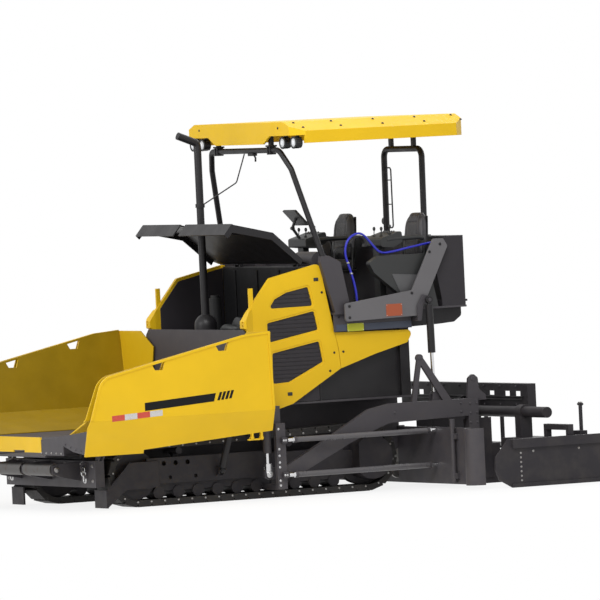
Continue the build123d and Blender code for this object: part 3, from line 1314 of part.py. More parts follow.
def make_gate():
    """End gate: tall plate with a curved ski nose and an upper bar."""
    outline = [
        (-1490, 0),
        (-1330, 90),
        (-1290, 200),
        (-1300, 330),
        (-1380, 420),
        (-1450, 506),
        (-2950, 506),
        (-2950, 0),
    ]
    gate = plate_xz(outline, GATE_Y)
    gate += block((-2950, -1500), (GATE_Y[1], GATE_Y[1] + 30), (410, 506))
    gate += block((-2900, -1480), (GATE_Y[1], GATE_Y[1] + 18), (0, 40))
    return gate


save_pair("track", make_track())
save_pair("track_frame", make_track_frame())
save("main_frame", make_main_frame())
save("conveyor_chains", make_conveyor())
save("front_beam", make_front_beam())
save_pair("push_roller", make_push_roller())
hopper_floor, hopper_lip = make_hopper_floor()
save("hopper_floor", hopper_floor)
save("hopper_lip", hopper_lip)
save_pair("hopper_wing", make_wing())
save_pair("wing_apron", make_wing_apron())
wing_barrel, wing_rod = make_wing_cylinder()
save_pair("wing_barrel", wing_barrel)
save_pair("wing_rod", wing_rod)
save("deflector", make_deflector())
save_pair("side_panel", make_side_panel())
save("side_grilles", make_grilles())
save("engine_hood", make_hood())
save("engine_block", make_engine())
save("exhaust_stack", make_stack())
save("rear_body", make_rear_body())
save("lift_brackets", both(make_lift_bracket()))
save("platform", make_platform())
save("platform_guards", both(make_platform_guard()))
save("rear_cabinet", make_cabinet())
save_pair("seat", make_seat())
save("consoles", both(make_console()) + make_display())
save("side_boxes", both(make_side_box()))
save("hose", make_hose())
save("hose_guide", make_hose_guide())
save("front_hoop", make_front_hoop())
save("rear_hoop", make_rear_hoop())
save("canopy_roof", make_canopy())
save("canopy_lamps", make_lamps())
save("tow_guides", both(make_tow_guides()))
level_barrel, level_rod = make_level_cylinder()
save("level_barrels", both(level_barrel))
save("level_rods", both(level_rod))
save_pair("tow_arm", make_tow_arm())
lift_barrel, lift_rod = make_lift_cylinder()
save_pair("lift_barrel", lift_barrel)
save_pair("lift_rod", lift_rod)
save_pair("auger", make_auger())
save("auger_case", make_auger_case())
save_pair("channel_plate", make_channel_plate())
save("screed_main", make_screed())
save_pair("screed_extension", make_extension())
save_pair("end_gate", make_gate())
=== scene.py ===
"""A tracked asphalt paver: finishes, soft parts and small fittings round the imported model."""
import json
import math

import bmesh
import bpy
from mathutils import Matrix, Vector


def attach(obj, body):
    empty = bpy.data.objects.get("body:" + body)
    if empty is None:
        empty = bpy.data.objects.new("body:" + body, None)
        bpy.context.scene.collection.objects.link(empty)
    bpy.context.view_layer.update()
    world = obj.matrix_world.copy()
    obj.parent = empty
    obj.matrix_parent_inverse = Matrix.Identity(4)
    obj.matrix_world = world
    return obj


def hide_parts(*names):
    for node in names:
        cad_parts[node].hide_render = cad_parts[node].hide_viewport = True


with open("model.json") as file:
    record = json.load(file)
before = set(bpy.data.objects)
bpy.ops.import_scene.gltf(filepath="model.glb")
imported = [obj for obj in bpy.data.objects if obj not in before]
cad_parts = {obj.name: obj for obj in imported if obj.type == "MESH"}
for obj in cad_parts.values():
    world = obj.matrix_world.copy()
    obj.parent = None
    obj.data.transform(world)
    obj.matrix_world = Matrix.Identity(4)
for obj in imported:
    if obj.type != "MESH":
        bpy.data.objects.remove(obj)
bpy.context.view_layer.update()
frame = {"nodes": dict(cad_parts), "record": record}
nodes = frame["nodes"]

SIDES = (("left", 1.0), ("right", -1.0))
X_AXIS = Vector((1, 0, 0))
Y_AXIS = Vector((0, 1, 0))
Z_AXIS = Vector((0, 0, 1))

# Camera: the photograph's viewing direction, roll and scale
VIEW_AZIMUTH = math.radians(27.9)
VIEW_ELEVATION = math.asin(0.026)
VIEW_ROLL = 0.047
VIEW_TARGET = Vector((-0.405, 0.0, 2.022))
VIEW_DISTANCE = 100.0
PIXELS_PER_METRE = 94.0
IMAGE_PIXELS = 600
SENSOR_MM = 36.0

# Lighting
WORLD_STRENGTH = 0.42
BACKDROP_WHITE = 1.0
FLOOR_COLOR = (0.82, 0.82, 0.82)
FLOOR_RADIUS = 34.0
FLOOR_SHADE = 0.16
FLOOR_FADE = (5.0, 11.0)

# Water hose: the points of its route, in metres
HOSE_DIAMETER = 0.024
HOSE_ROUTE = (
    (-0.500, 1.106, 1.935),
    (-0.500, 1.106, 2.045),
    (-0.478, 1.103, 2.200),
    (-0.428, 1.100, 2.370),
    (-0.376, 1.100, 2.520),
    (-0.420, 1.102, 2.672),
    (-0.575, 1.104, 2.740),
    (-0.692, 1.103, 2.618),
    (-0.800, 1.104, 2.492),
    (-0.950, 1.110, 2.505),
    (-1.120, 1.114, 2.536),
    (-1.290, 1.110, 2.562),
    (-1.435, 1.104, 2.582),
    (-1.555, 1.104, 2.582),
)


def add_object(name, data):
    """A new object in the scene."""
    obj = bpy.data.objects.new(name, data)
    bpy.context.scene.collection.objects.link(obj)
    return obj


def make_camera():
    """A long lens that looks at the machine's left side from its front quarter."""
    back = Vector((
        math.sin(VIEW_AZIMUTH) * math.cos(VIEW_ELEVATION),
        math.cos(VIEW_AZIMUTH) * math.cos(VIEW_ELEVATION),
        math.sin(VIEW_ELEVATION),
    ))
    level_right = Vector((-math.cos(VIEW_AZIMUTH), math.sin(VIEW_AZIMUTH), 0.0))
    level_up = back.cross(level_right)
    right = level_right * math.cos(VIEW_ROLL) - level_up * math.sin(VIEW_ROLL)
    up = level_right * math.sin(VIEW_ROLL) + level_up * math.cos(VIEW_ROLL)
    data = bpy.data.cameras.new("camera")
    data.sensor_width = SENSOR_MM
    data.lens = PIXELS_PER_METRE * VIEW_DISTANCE * SENSOR_MM / IMAGE_PIXELS
    data.clip_end = VIEW_DISTANCE * 3
    camera = add_object("camera", data)
    turn = Matrix((right, up, back)).transposed().to_4x4()
    camera.matrix_world = Matrix.Translation(VIEW_TARGET + back * VIEW_DISTANCE) @ turn
    bpy.context.scene.camera = camera


def make_hose(material):
    """The blue hose as one smooth line through its route."""
    curve = bpy.data.curves.new("water_hose", "CURVE")
    curve.dimensions = "3D"
    spline = curve.splines.new("NURBS")
    spline.points.add(len(HOSE_ROUTE) - 1)
    for point, place in zip(spline.points, HOSE_ROUTE):
        point.co = (*place, 1.0)
    spline.order_u = 3
    spline.use_endpoint_u = True
    spline.resolution_u = 12
    curve.bevel_depth = HOSE_DIAMETER / 2
    curve.bevel_resolution = 5
    curve.use_fill_caps = True
    curve.materials.append(material)
    hose = add_object("water_hose", curve)
    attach(hose, "chassis")
    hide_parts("hose")


class Nodes:
    """Short calls for building a node material."""

    def __init__(self, name):
        self.material = bpy.data.materials.new(name)
        self.material.use_nodes = True
        self.tree = self.material.node_tree
        self.shader = self.tree.nodes["Principled BSDF"]
        self.position = self.add("ShaderNodeTexCoord").outputs["Object"]

    def add(self, kind, inputs=None, **settings):
        """A new node with its settings and inputs."""
        node = self.tree.nodes.new(kind)
        for key, value in settings.items():
            setattr(node, key, value)
        self.feed(node, inputs or {})
        return node

    def feed(self, node, inputs):
        """Links each input that is a socket and sets each one that is a number or a colour."""
        for key, value in inputs.items():
            socket = node.inputs[key]
            if isinstance(value, bpy.types.NodeSocket):
                self.tree.links.new(value, socket)
            elif socket.type == "RGBA":
                socket.default_value = (*value, 1.0)
            elif value is not None:
                socket.default_value = value

    def noise(self, scale, detail=3.0, roughness=0.55, stretch=None):
        """Noise between 0 and 1 over the object's own coordinates."""
        source = self.position
        if stretch:
            source = self.add("ShaderNodeMapping", {"Vector": source, "Scale": stretch}).outputs["Vector"]
        inputs = {"Vector": source, "Scale": scale, "Detail": detail, "Roughness": roughness}
        return self.add("ShaderNodeTexNoise", inputs).outputs["Fac"]

    def cells(self, scale, **settings):
        """Distance in a cell pattern over the object's own coordinates."""
        inputs = {"Vector": self.position, "Scale": scale}
        return self.add("ShaderNodeTexVoronoi", inputs, **settings).outputs["Distance"]

    def ramp(self, source, low, high, out_low=0.0, out_high=1.0):
        """A source remapped between two values and clamped."""
        inputs = {"Value": source, "From Min": low, "From Max": high, "To Min": out_low, "To Max": out_high}
        return self.add("ShaderNodeMapRange", inputs).outputs["Result"]

    def maths(self, operation, first, second, clamp=True):
        inputs = {0: first, 1: second}
        return self.add("ShaderNodeMath", inputs, operation=operation, use_clamp=clamp).outputs[0]

    def times(self, first, second):
        return self.maths("MULTIPLY", first, second)

    def mix(self, share, first, second):
        """Two colours mixed by a share; each is a tuple or a socket."""
        return self.add("ShaderNodeMix", {0: share, 6: first, 7: second}, data_type="RGBA").outputs[2]

    def part(self, source, axis):
        """One of the three numbers of a vector."""
        return self.add("ShaderNodeSeparateXYZ", {0: source}).outputs[axis]

    def edges(self, radius):
        """1 on sharp edges and 0 on flat faces, and the rounded normal."""
        rounded = self.add("ShaderNodeBevel", {"Radius": radius}, samples=4).outputs["Normal"]
        flat = self.add("ShaderNodeNewGeometry").outputs["Normal"]
        dot = self.add("ShaderNodeVectorMath", {0: rounded, 1: flat}, operation="DOT_PRODUCT")
        return self.ramp(dot.outputs["Value"], 0.995, 0.80), rounded

    def upward(self):
        """1 where a face looks up, 0 where it stands or looks down."""
        facing = self.add("ShaderNodeNewGeometry").outputs["Normal"]
        return self.ramp(self.part(facing, "Z"), 0.3, 0.95)

    def inward(self):
        """1 where a face looks toward the machine's middle plane, 0 where it looks away from it."""
        facing = self.add("ShaderNodeTexCoord").outputs["Normal"]
        away = self.maths("MULTIPLY", self.part(self.position, "Y"), self.part(facing, "Y"), clamp=False)
        return self.ramp(away, 0.02, -0.15)

    def height(self, low, high):
        """1 below the low height and 0 above the high one."""
        return self.ramp(self.part(self.position, "Z"), high, low)

    def bump(self, source, strength, distance, normal=None):
        inputs = {"Height": source, "Strength": strength, "Distance": distance, "Normal": normal}
        return self.add("ShaderNodeBump", inputs).outputs["Normal"]

    def finish(self, color, roughness, normal=None, others=None):
        """Feeds the shader; others holds its further inputs by name."""
        inputs = {"Base Color": color, "Roughness": roughness, "Normal": normal}
        self.feed(self.shader, {**inputs, **(others or {})})
        return self.material


DUST = (0.23, 0.20, 0.16)
RUST = (0.14, 0.055, 0.02)
MUD = (0.10, 0.08, 0.06)
DUST_TOP_Z = 1.3
PAINT_EDGE = 0.004
METAL_EDGE = 0.003
TRACK_EDGE = 0.006


def shade(color, factor, lift=0.0):
    """A colour made darker or lighter."""
    return tuple(min(1.0, c * factor + lift) for c in color)


def paint(name, color, roughness, edge_color, dust, coat=0.0, specular=0.5, inside=None):
    """Sprayed paint: slight cloudiness, orange peel, lighter edges that are partly wear and partly painted
    highlight, and dust that thickens low down.

    With an inside colour, faces that look toward the machine's middle plane take that colour as painted
    shade.
    """
    n = Nodes(name)
    base = n.mix(n.ramp(n.noise(1.7), 0.35, 0.65), shade(color, 0.94), color)
    if inside:
        # Painted shade: faces that look inward take the darker inside colour.
        shaded_inside = n.mix(n.ramp(n.noise(3.0, 5.0), 0.35, 0.65), shade(inside, 0.85), inside)
        base = n.mix(n.inward(), base, shaded_inside)
    edge, normal = n.edges(PAINT_EDGE)
    # Lighter edges: partly wear, partly painted highlight.
    worn_and_highlit = n.times(edge, n.ramp(n.noise(23.0, 5.0), 0.40, 0.62))
    base = n.mix(n.times(worn_and_highlit, 0.75), base, edge_color)
    grime = n.times(n.ramp(n.noise(5.0, 6.0), 0.42, 0.72), n.height(0.0, DUST_TOP_Z))
    settled = n.times(n.upward(), n.ramp(n.noise(9.0, 4.0), 0.35, 0.75))
    dirt = n.times(n.maths("MAXIMUM", grime, n.times(settled, 0.6)), dust)
    base = n.mix(dirt, base, DUST)
    normal = n.bump(n.noise(420.0, 1.0), 0.05, 0.0006, normal)
    rough = n.ramp(n.noise(6.0, 4.0), 0.3, 0.7, roughness - 0.05, roughness + 0.07)
    rough = n.maths("ADD", rough, n.times(dirt, 0.5))
    return n.finish(
        base, rough, normal, {"Specular IOR Level": specular, "Coat Weight": coat, "Coat Roughness": 0.12}
    )


def bare_metal(name, color, roughness, scratch=(1.0, 1.0, 14.0), rust=0.0):
    """Worked steel with fine scratches along one direction, a little rust and edges painted lighter as a
    painted highlight.
    """
    n = Nodes(name)
    streak = n.noise(60.0, 4.0, 0.6, scratch)
    base = n.mix(n.ramp(streak, 0.3, 0.7), shade(color, 0.72), color)
    spots = n.times(n.ramp(n.noise(13.0, 7.0), 0.52, 0.66), rust)
    base = n.mix(spots, base, RUST)
    edge, normal = n.edges(METAL_EDGE)
    # Painted highlight: edges lighter than the steel.
    base = n.mix(n.times(edge, 0.5), base, shade(color, 1.5))
    rough = n.ramp(streak, 0.2, 0.8, roughness - 0.06, roughness + 0.1)
    rough = n.maths("ADD", rough, n.times(spots, 0.5))
    return n.finish(base, rough, n.bump(streak, 0.08, 0.0008, normal), {"Metallic": 1.0})


def rolled_steel(name):
    """Track steel: nearly black, edges worn to a polish and painted lighter as a painted sheen, dry mud in
    patches.
    """
    n = Nodes(name)
    edge, normal = n.edges(TRACK_EDGE)
    grain = n.noise(38.0, 6.0, 0.65)
    base = n.mix(n.ramp(grain, 0.35, 0.7), (0.012, 0.011, 0.011), (0.032, 0.029, 0.027))
    # Worn polish on the edges, painted lighter as a painted sheen.
    base = n.mix(n.times(edge, n.ramp(grain, 0.3, 0.6)), base, (0.12, 0.11, 0.105))
    base = n.mix(n.times(n.ramp(n.noise(7.0, 6.0), 0.50, 0.70), 0.18), base, MUD)
    rough = n.ramp(grain, 0.3, 0.7, 0.5, 0.8)
    return n.finish(base, rough, n.bump(grain, 0.35, 0.004, normal), {"Metallic": 0.3})


def moulded(name, color, roughness, scale=260.0):
    """Moulded plastic or rubber with a fine grain and edges painted lighter as a painted highlight."""
    n = Nodes(name)
    grain = n.noise(scale, 2.0)
    edge, normal = n.edges(PAINT_EDGE)
    base = n.mix(n.ramp(n.noise(4.0), 0.3, 0.7), shade(color, 0.85), color)
    # Painted highlight: edges lighter than the plastic.
    base = n.mix(n.times(edge, 0.5), base, shade(color, 1.5, 0.01))
    rough = n.ramp(grain, 0.3, 0.7, roughness - 0.05, roughness + 0.08)
    return n.finish(base, rough, n.bump(grain, 0.25, 0.0008, normal))


def vinyl(name):
    """Seat cover: black vinyl with a pebbled grain."""
    n = Nodes(name)
    pebble = n.ramp(n.cells(330.0, feature="DISTANCE_TO_EDGE"), 0.0, 0.25)
    base = n.mix(n.ramp(n.noise(6.0), 0.3, 0.7), (0.026, 0.025, 0.027), (0.042, 0.040, 0.044))
    rough = n.ramp(n.noise(30.0, 4.0), 0.3, 0.7, 0.42, 0.56)
    return n.finish(base, rough, n.bump(pebble, 0.35, 0.0012))


def glass_lens(name, color):
    """Lamp lens: bright, slightly frosted, with a fluted pattern."""
    n = Nodes(name)
    wave = n.add("ShaderNodeTexWave", {"Vector": n.position, "Scale": 30.0}).outputs["Fac"]
    base = n.mix(n.ramp(wave, 0.2, 0.8), shade(color, 0.65), color)
    return n.finish(base, 0.12, n.bump(wave, 0.2, 0.002), {"Coat Weight": 0.6})


def reflective(name, color):
    """Reflective sheeting: a honeycomb of fine cells under a clear face."""
    n = Nodes(name)
    comb = n.ramp(n.cells(150.0, feature="DISTANCE_TO_EDGE"), 0.02, 0.10)
    base = n.mix(comb, shade(color, 0.6), color)
    return n.finish(base, 0.35, n.bump(comb, 0.15, 0.0006), {"Coat Weight": 0.5})


def screen_glass(name):
    """A dark display with faint panes."""
    n = Nodes(name)
    panes = n.ramp(n.cells(16.0, distance="CHEBYCHEV"), 0.30, 0.36)
    base = n.mix(panes, (0.030, 0.045, 0.055), (0.008, 0.010, 0.012))
    return n.finish(base, n.ramp(n.noise(50.0), 0.3, 0.7, 0.10, 0.18))


YELLOW = (0.80, 0.50, 0.012)
YELLOW_EDGE = (0.93, 0.66, 0.05)
# Painted shade on the inward faces of the wings.
YELLOW_SHADED_INSIDE = (0.295, 0.186, 0.003)

# Each finish: the material slot it stands for, its maker, and what the maker takes after the name.
# A paint takes its colour, roughness, its edges' lighter colour (wear and painted highlight), dust, coat,
# specular level and inside colour (painted shade).
RECIPES = {
    "yellow_paint": ("yellow_paint", paint, YELLOW, 0.42, YELLOW_EDGE, 0.08, 0.03, 0.22),
    # The yellow paint with painted shade on its inward faces.
    "wing_paint": ("yellow_paint", paint, YELLOW, 0.42, YELLOW_EDGE, 0.08, 0.03, 0.22, YELLOW_SHADED_INSIDE),
    "black_paint": ("black_paint", paint, (0.013, 0.012, 0.0135), 0.42, (0.07, 0.07, 0.073), 0.08, 0.0, 0.3),
    "dark_gray_paint": (
        "dark_gray_paint", paint, (0.052, 0.047, 0.053), 0.50, (0.14, 0.135, 0.14), 0.12, 0.0, 0.4
    ),
    # A darker copy of the dark gray paint: painted shade.
    "deep_gray": (
        "dark_gray_paint", paint, (0.030, 0.027, 0.031), 0.50, (0.10, 0.095, 0.10), 0.12, 0.0, 0.25
    ),
    "gray_paint": ("gray_paint", paint, (0.135, 0.130, 0.136), 0.45, (0.25, 0.25, 0.26), 0.08, 0.0, 0.35),
    "strut_gray": ("gray_paint", paint, (0.095, 0.090, 0.096), 0.28, (0.3, 0.3, 0.3), 0.10),
    # A lighter copy of the black paint: painted highlight on the hood's folded lip.
    "hood_edge": ("black_paint", paint, (0.075, 0.072, 0.076), 0.5, (0.16, 0.16, 0.16), 0.10),
    "engine_cast": ("engine_cast", paint, (0.014, 0.014, 0.015), 0.55, (0.06, 0.06, 0.06), 0.12, 0.0, 0.3),
    # Near-black: painted shade in the engine bay.
    "bay_black": ("engine_cast", paint, (0.008, 0.008, 0.009), 0.62, (0.03, 0.03, 0.03), 0.10, 0.0, 0.2),
    "band_black": ("black_paint", paint, (0.007, 0.007, 0.0075), 0.45, (0.03, 0.03, 0.03), 0.04, 0.0, 0.15),
    "plate_orange": ("yellow_paint", paint, (0.36, 0.075, 0.025), 0.42, (0.5, 0.2, 0.1), 0.10),
    "plate_green": ("yellow_paint", paint, (0.50, 0.52, 0.02), 0.42, (0.6, 0.6, 0.1), 0.10),
    "strip_blue": ("dark_gray_paint", paint, (0.045, 0.055, 0.085), 0.45, (0.10, 0.11, 0.14), 0.12),
    "bare_steel": ("bare_steel", bare_metal, (0.36, 0.35, 0.34), 0.38, (1.0, 1.0, 14.0), 0.4),
    "bright_steel": ("bare_steel", bare_metal, (0.62, 0.62, 0.62), 0.28, (8.0, 8.0, 8.0)),
    "roller_steel": ("bare_steel", bare_metal, (0.13, 0.125, 0.12), 0.42, (1.0, 6.0, 1.0), 0.2),
    "chrome_rod": ("chrome_rod", bare_metal, (0.78, 0.78, 0.79), 0.14, (1.0, 1.0, 40.0)),
    "conveyor_steel": ("conveyor_steel", bare_metal, (0.26, 0.24, 0.22), 0.45, (1.0, 1.0, 14.0), 0.8),
    "track_steel": ("track_steel", rolled_steel),
    "seat_cover": ("seat_cover", vinyl),
    "blue_hose": ("blue_hose", moulded, (0.020, 0.024, 0.45), 0.38, 150.0),
    "black_plastic": ("black_plastic", moulded, (0.020, 0.021, 0.021), 0.50),
    "inset_gray": ("gray_paint", moulded, (0.085, 0.084, 0.087), 0.5, 180.0),
    "lamp_glass": ("lamp_glass", glass_lens, (0.85, 0.87, 0.90)),
    "reflex_red": ("lamp_glass", reflective, (0.62, 0.055, 0.025)),
    "reflex_white": ("lamp_glass", reflective, (0.62, 0.60, 0.58)),
    "display_glass": ("black_plastic", screen_glass),
}
FINISHES = {name: (make(name, *values), slot) for name, (slot, make, *values) in RECIPES.items()}

# Nodes whose shade in the photograph differs a little from the rest of their material slot
OWN_SHADES = {
    "black_paint": ("canopy_lamps", "rear_body"),
    # Painted shade: these low and rear parts take the darker copy of the dark gray paint.
    "deep_gray": (
        "rear_cabinet", "end_gate_left", "end_gate_right", "screed_main", "screed_extension_left",
        "screed_extension_right", "track_frame_left", "track_frame_right", "side_grilles",
    ),
    "roller_steel": ("push_roller_left", "push_roller_right"),
    # The wings: painted shade on their inward faces.
    "wing_paint": ("hopper_wing_left", "hopper_wing_right"),
}


def dress_frame():
    """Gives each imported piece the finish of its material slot, or its own shade."""
    finish_of = {row["node"]: row["material_slot"] for row in frame["record"]["subparts"]}
    for finish, shaded in OWN_SHADES.items():
        finish_of.update(dict.fromkeys(shaded, finish))
    for name, node in nodes.items():
        node.data.materials.clear()
        node.data.materials.append(FINISHES[finish_of[name]][0])


SHARP_ANGLE = math.radians(35.0)


class Shape:
    """Points and faces that build up one mesh."""

    def __init__(self):
        self.points = []
        self.faces = []

    def loft(self, rings, closed=False):
        """Skins equal rings of points; the end rings are filled unless the loft is closed on itself."""
        start = len(self.points)
        count = len(rings[0])
        for ring in rings:
            self.points.extend(Vector(p) for p in ring)
        last = len(rings) if closed else len(rings) - 1
        for row in range(last):
            low = start + row * count
            high = start + (row + 1) % len(rings) * count
            for column in range(count):
                after = (column + 1) % count
                self.faces.append((low + column, low + after, high + after, high + column))
        if not closed:
            self.faces.append(tuple(start + i for i in reversed(range(count))))
            top = start + (len(rings) - 1) * count
            self.faces.append(tuple(top + i for i in range(count)))

    def box(self, low, high, edge=0.003, place=None):
        """A box with chamfered edges."""
        (x0, y0, z0), (x1, y1, z1) = low, high

        def ring(z, inset):
            a, b, c, d = x0 + inset, x1 - inset, y0 + inset, y1 - inset
            return [
                (a + edge, c, z), (b - edge, c, z), (b, c + edge, z), (b, d - edge, z),
                (b - edge, d, z), (a + edge, d, z), (a, d - edge, z), (a, c + edge, z),
            ]

        rings = [ring(z0, edge), ring(z0 + edge, 0.0), ring(z1 - edge, 0.0), ring(z1, edge)]
        if place:
            rings = [[place @ Vector(p) for p in r] for r in rings]
        self.loft(rings)

    def lathe(self, foot, axis, profile, segments=24, turn=0.0):
        """A turned form from (distance along the axis, radius) pairs."""
        place = axis_frame(foot, axis)
        angles = [turn + 2 * math.pi * number / segments for number in range(segments)]
        self.loft([
            [place @ Vector((radius * math.cos(a), radius * math.sin(a), distance)) for a in angles]
            for distance, radius in profile
        ])

    def bolt(self, foot, axis, size):
        """A hexagon head on its washer; size is the head's radius."""
        washer = size * 1.45
        self.lathe(foot, axis, [(0, washer), (size * 0.18, washer), (size * 0.25, washer * 0.93)], 20)
        head = [(size * 0.24, size), (size * 0.80, size), (size * 0.95, size * 0.86), (size, size * 0.5)]
        self.lathe(foot, axis, head, 6, 0.3)

    def side_bolts(self, side, face_y, places, size):
        """Bolts at (x, z) places on an upright face that looks sideways."""
        for x, z in places:
            self.bolt((x, side * face_y, z), (0, side, 0), size)

    def tube(self, points, radius, segments=10, closed=False):
        """A round bar along a line of points."""
        points = [Vector(p) for p in points]
        count = len(points)
        rings = []
        side = None
        for number, point in enumerate(points):
            if closed:
                along = points[(number + 1) % count] - points[number - 1]
            else:
                along = points[min(number + 1, count - 1)] - points[max(number - 1, 0)]
            along.normalize()
            if side is None:
                side = along.orthogonal().normalized()
            side = (side - along * side.dot(along)).normalized()
            other = along.cross(side)
            rings.append([
                point + side * (radius * math.cos(2 * math.pi * k / segments))
                + other * (radius * math.sin(2 * math.pi * k / segments))
                for k in range(segments)
            ])
        self.loft(rings, closed)

    def plate(self, corners, thickness):
        """A flat plate from its corners, raised along their normal."""
        corners = [Vector(c) for c in corners]
        normal = (corners[1] - corners[0]).cross(corners[2] - corners[1]).normalized()
        middle = sum(corners, Vector()) / len(corners)
        inset = min(thickness * 0.5, 0.002)
        top = []
        for corner in corners:
            to_middle = (middle - corner).normalized()
            top.append(corner + normal * thickness + to_middle * inset)
        full = [corner + normal * (thickness - inset) for corner in corners]
        self.loft([corners, full, top])

    def piece(self, name, finish, body="chassis"):
        """Makes the mesh object, lets it ride on its body and gives it its finish's material."""
        material, slot = FINISHES[finish]
        mesh = outward_mesh(name, self.points, self.faces)
        mesh.shade_smooth()
        mesh.set_sharp_from_angle(angle=SHARP_ANGLE)
        mesh.materials.append(material)
        obj = add_object(name, mesh)
        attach(obj, body)


def outward_mesh(name, points, faces):
    """A mesh from points and faces with every face turned outward."""
    mesh = bpy.data.meshes.new(name)
    mesh.from_pydata([tuple(p) for p in points], [], faces)
    work = bmesh.new()
    work.from_mesh(mesh)
    bmesh.ops.recalc_face_normals(work, faces=work.faces)
    work.to_mesh(mesh)
    work.free()
    return mesh


def axis_frame(foot, axis):
    """A frame at a point whose third axis is given."""
    third = Vector(axis).normalized()
    first = third.orthogonal().normalized()
    second = third.cross(first)
    turn = Matrix((first, second, third)).transposed().to_4x4()
    return Matrix.Translation(Vector(foot)) @ turn


def mirror(side):
    """The matrix that leaves the left side alone or mirrors it to the right."""
    return Matrix.Diagonal((1.0, side, 1.0, 1.0))


def arc(centre, radius, start, end, steps, first, second):
    """Points on an arc in the plane of two axes; angles in degrees."""
    centre = Vector(centre)
    points = []
    for step in range(steps + 1):
        angle = math.radians(start + (end - start) * step / steps)
        points.append(centre + first * (radius * math.cos(angle)) + second * (radius * math.sin(angle)))
    return points


def smooth_line(points, steps=6):
    """A rounded line through the points."""
    points = [Vector(p) for p in points]
    ends = [points[0] * 2 - points[1], *points, points[-1] * 2 - points[-2]]
    line = []
    for a, b, c, d in zip(ends, ends[1:], ends[2:], ends[3:]):
        square = a * 2 - b * 5 + c * 4 - d
        cube = b * 3 - a - c * 3 + d
        for step in range(steps):
            t = step / steps
            line.append(((b * 2) + (c - a) * t + square * t**2 + cube * t**3) / 2)
    return [*line, points[-1]]


# Wing face: the outer face stands at WING_Y above the crease and leans in below it
WING_Y = 1.750
WING_CREASE_Z = 0.950
WING_LEAN = 0.125 / 0.367
DECAL_LIFTS = (-0.001, 0.0015)

# Marks on the wing's face: (x, z) of each foot and head, and the steps from one to the next
BAND_FRONT = ((2.392, 1.024), (2.392, 1.108))
BAND_REAR = ((1.585, 1.078), (1.560, 1.163))
TICK_FOOT = (1.548, 1.085)
TICK_STEP = (-0.046, 0.004)
TICK_WIDTH = 0.030
TICK_SLANT = 0.034
TICK_HEIGHT = 0.085
STRIP_FOOT = (2.778, 0.934)
STRIP_STEP = (-0.147, 0.008)
STRIP_LENGTH = 0.146
STRIP_HEIGHT = 0.060


def wing_skin(x, z, side, lift):
    """A point on the wing's outer face."""
    y = WING_Y + lift
    if z < WING_CREASE_Z:
        y = y - (WING_CREASE_Z - z) * WING_LEAN
    return Vector((x, side * y, z))


def skin_patch(shape, front, rear, side, rows=6):
    """A thin patch on the wing's face between a front edge and a rear edge, each (foot, head)."""
    under, over = DECAL_LIFTS
    rings = []
    for row in range(rows + 1):
        a, b = [
            [foot[i] + (head[i] - foot[i]) * row / rows for i in (0, 1)] for foot, head in (front, rear)
        ]
        rings.append([
            wing_skin(*a, side, under), wing_skin(*b, side, under),
            wing_skin(*b, side, over), wing_skin(*a, side, over),
        ])
    shape.loft(rings)


def make_wing_marks():
    """The plain black band with its slanted ticks and the reflective strip on each wing."""
    for name, side in SIDES:
        body = f"wing_{name}"
        band = Shape()
        skin_patch(band, BAND_FRONT, BAND_REAR, side)
        for number in range(4):
            x, low = [foot + number * step for foot, step in zip(TICK_FOOT, TICK_STEP)]
            head_x, head_z = x - TICK_SLANT, low + TICK_HEIGHT
            rear = ((x - TICK_WIDTH, low), (head_x - TICK_WIDTH, head_z))
            skin_patch(band, ((x, low), (head_x, head_z)), rear, side)
        band.piece(f"wing_band_{name}", "band_black", body)
        for color, numbers in (("red", (0, 2)), ("white", (1, 3))):
            strip = Shape()
            for number in numbers:
                x, low = [foot + number * step for foot, step in zip(STRIP_FOOT, STRIP_STEP)]
                rear_x, rear_low = x - STRIP_LENGTH, low + STRIP_STEP[1]
                front = ((x, low), (x, low + STRIP_HEIGHT))
                rear = ((rear_x, rear_low), (rear_x, rear_low + STRIP_HEIGHT))
                skin_patch(strip, front, rear, side, 8)
            strip.piece(f"wing_reflector_{color}_{name}", f"reflex_{color}", body)


def make_wing_fittings():
    """Lugs with their tie under each wing, and bolts along its front apron."""
    for name, side in SIDES:
        body = f"wing_{name}"
        lugs = Shape()
        for x in (1.000, 1.110):
            lugs.box((x - 0.012, 1.630, 0.645), (x + 0.012, 1.673, 0.750), 0.004, mirror(side))
            lugs.lathe((x - 0.018, side * 1.650, 0.660), X_AXIS, [(0, 0.020), (0.036, 0.020)], 16)
        lugs.box((0.985, 1.643, 0.640), (1.160, 1.657, 0.658), 0.003, mirror(side))
        lugs.piece(f"wing_lugs_{name}", "yellow_paint", body)
        bolts = Shape()
        for y, z in ((1.120, 0.706), (1.240, 0.678), (1.360, 0.656), (1.480, 0.644), (1.580, 0.632)):
            bolts.bolt((3.018, side * y, z), X_AXIS, 0.009)
        bolts.piece(f"wing_apron_bolts_{name}", "dark_gray_paint", body)


# Roof lamps: (x, y) of each lamp's face, their height, and the turned profiles
LAMP_PLACES = ((0.200, 0.920), (0.190, 1.150))
LAMP_Z = 3.710
LAMP_DOME = [
    (0.002, 0.0535), (0.004, 0.0530), (0.008, 0.047), (0.012, 0.036), (0.0145, 0.020), (0.0155, 0.004),
]
LAMP_RING = [(0.0, 0.0655), (0.009, 0.0655), (0.0125, 0.063), (0.0125, 0.056), (0.009, 0.0545)]
FIN_COUNT = 8
FIN_REACH = 0.058


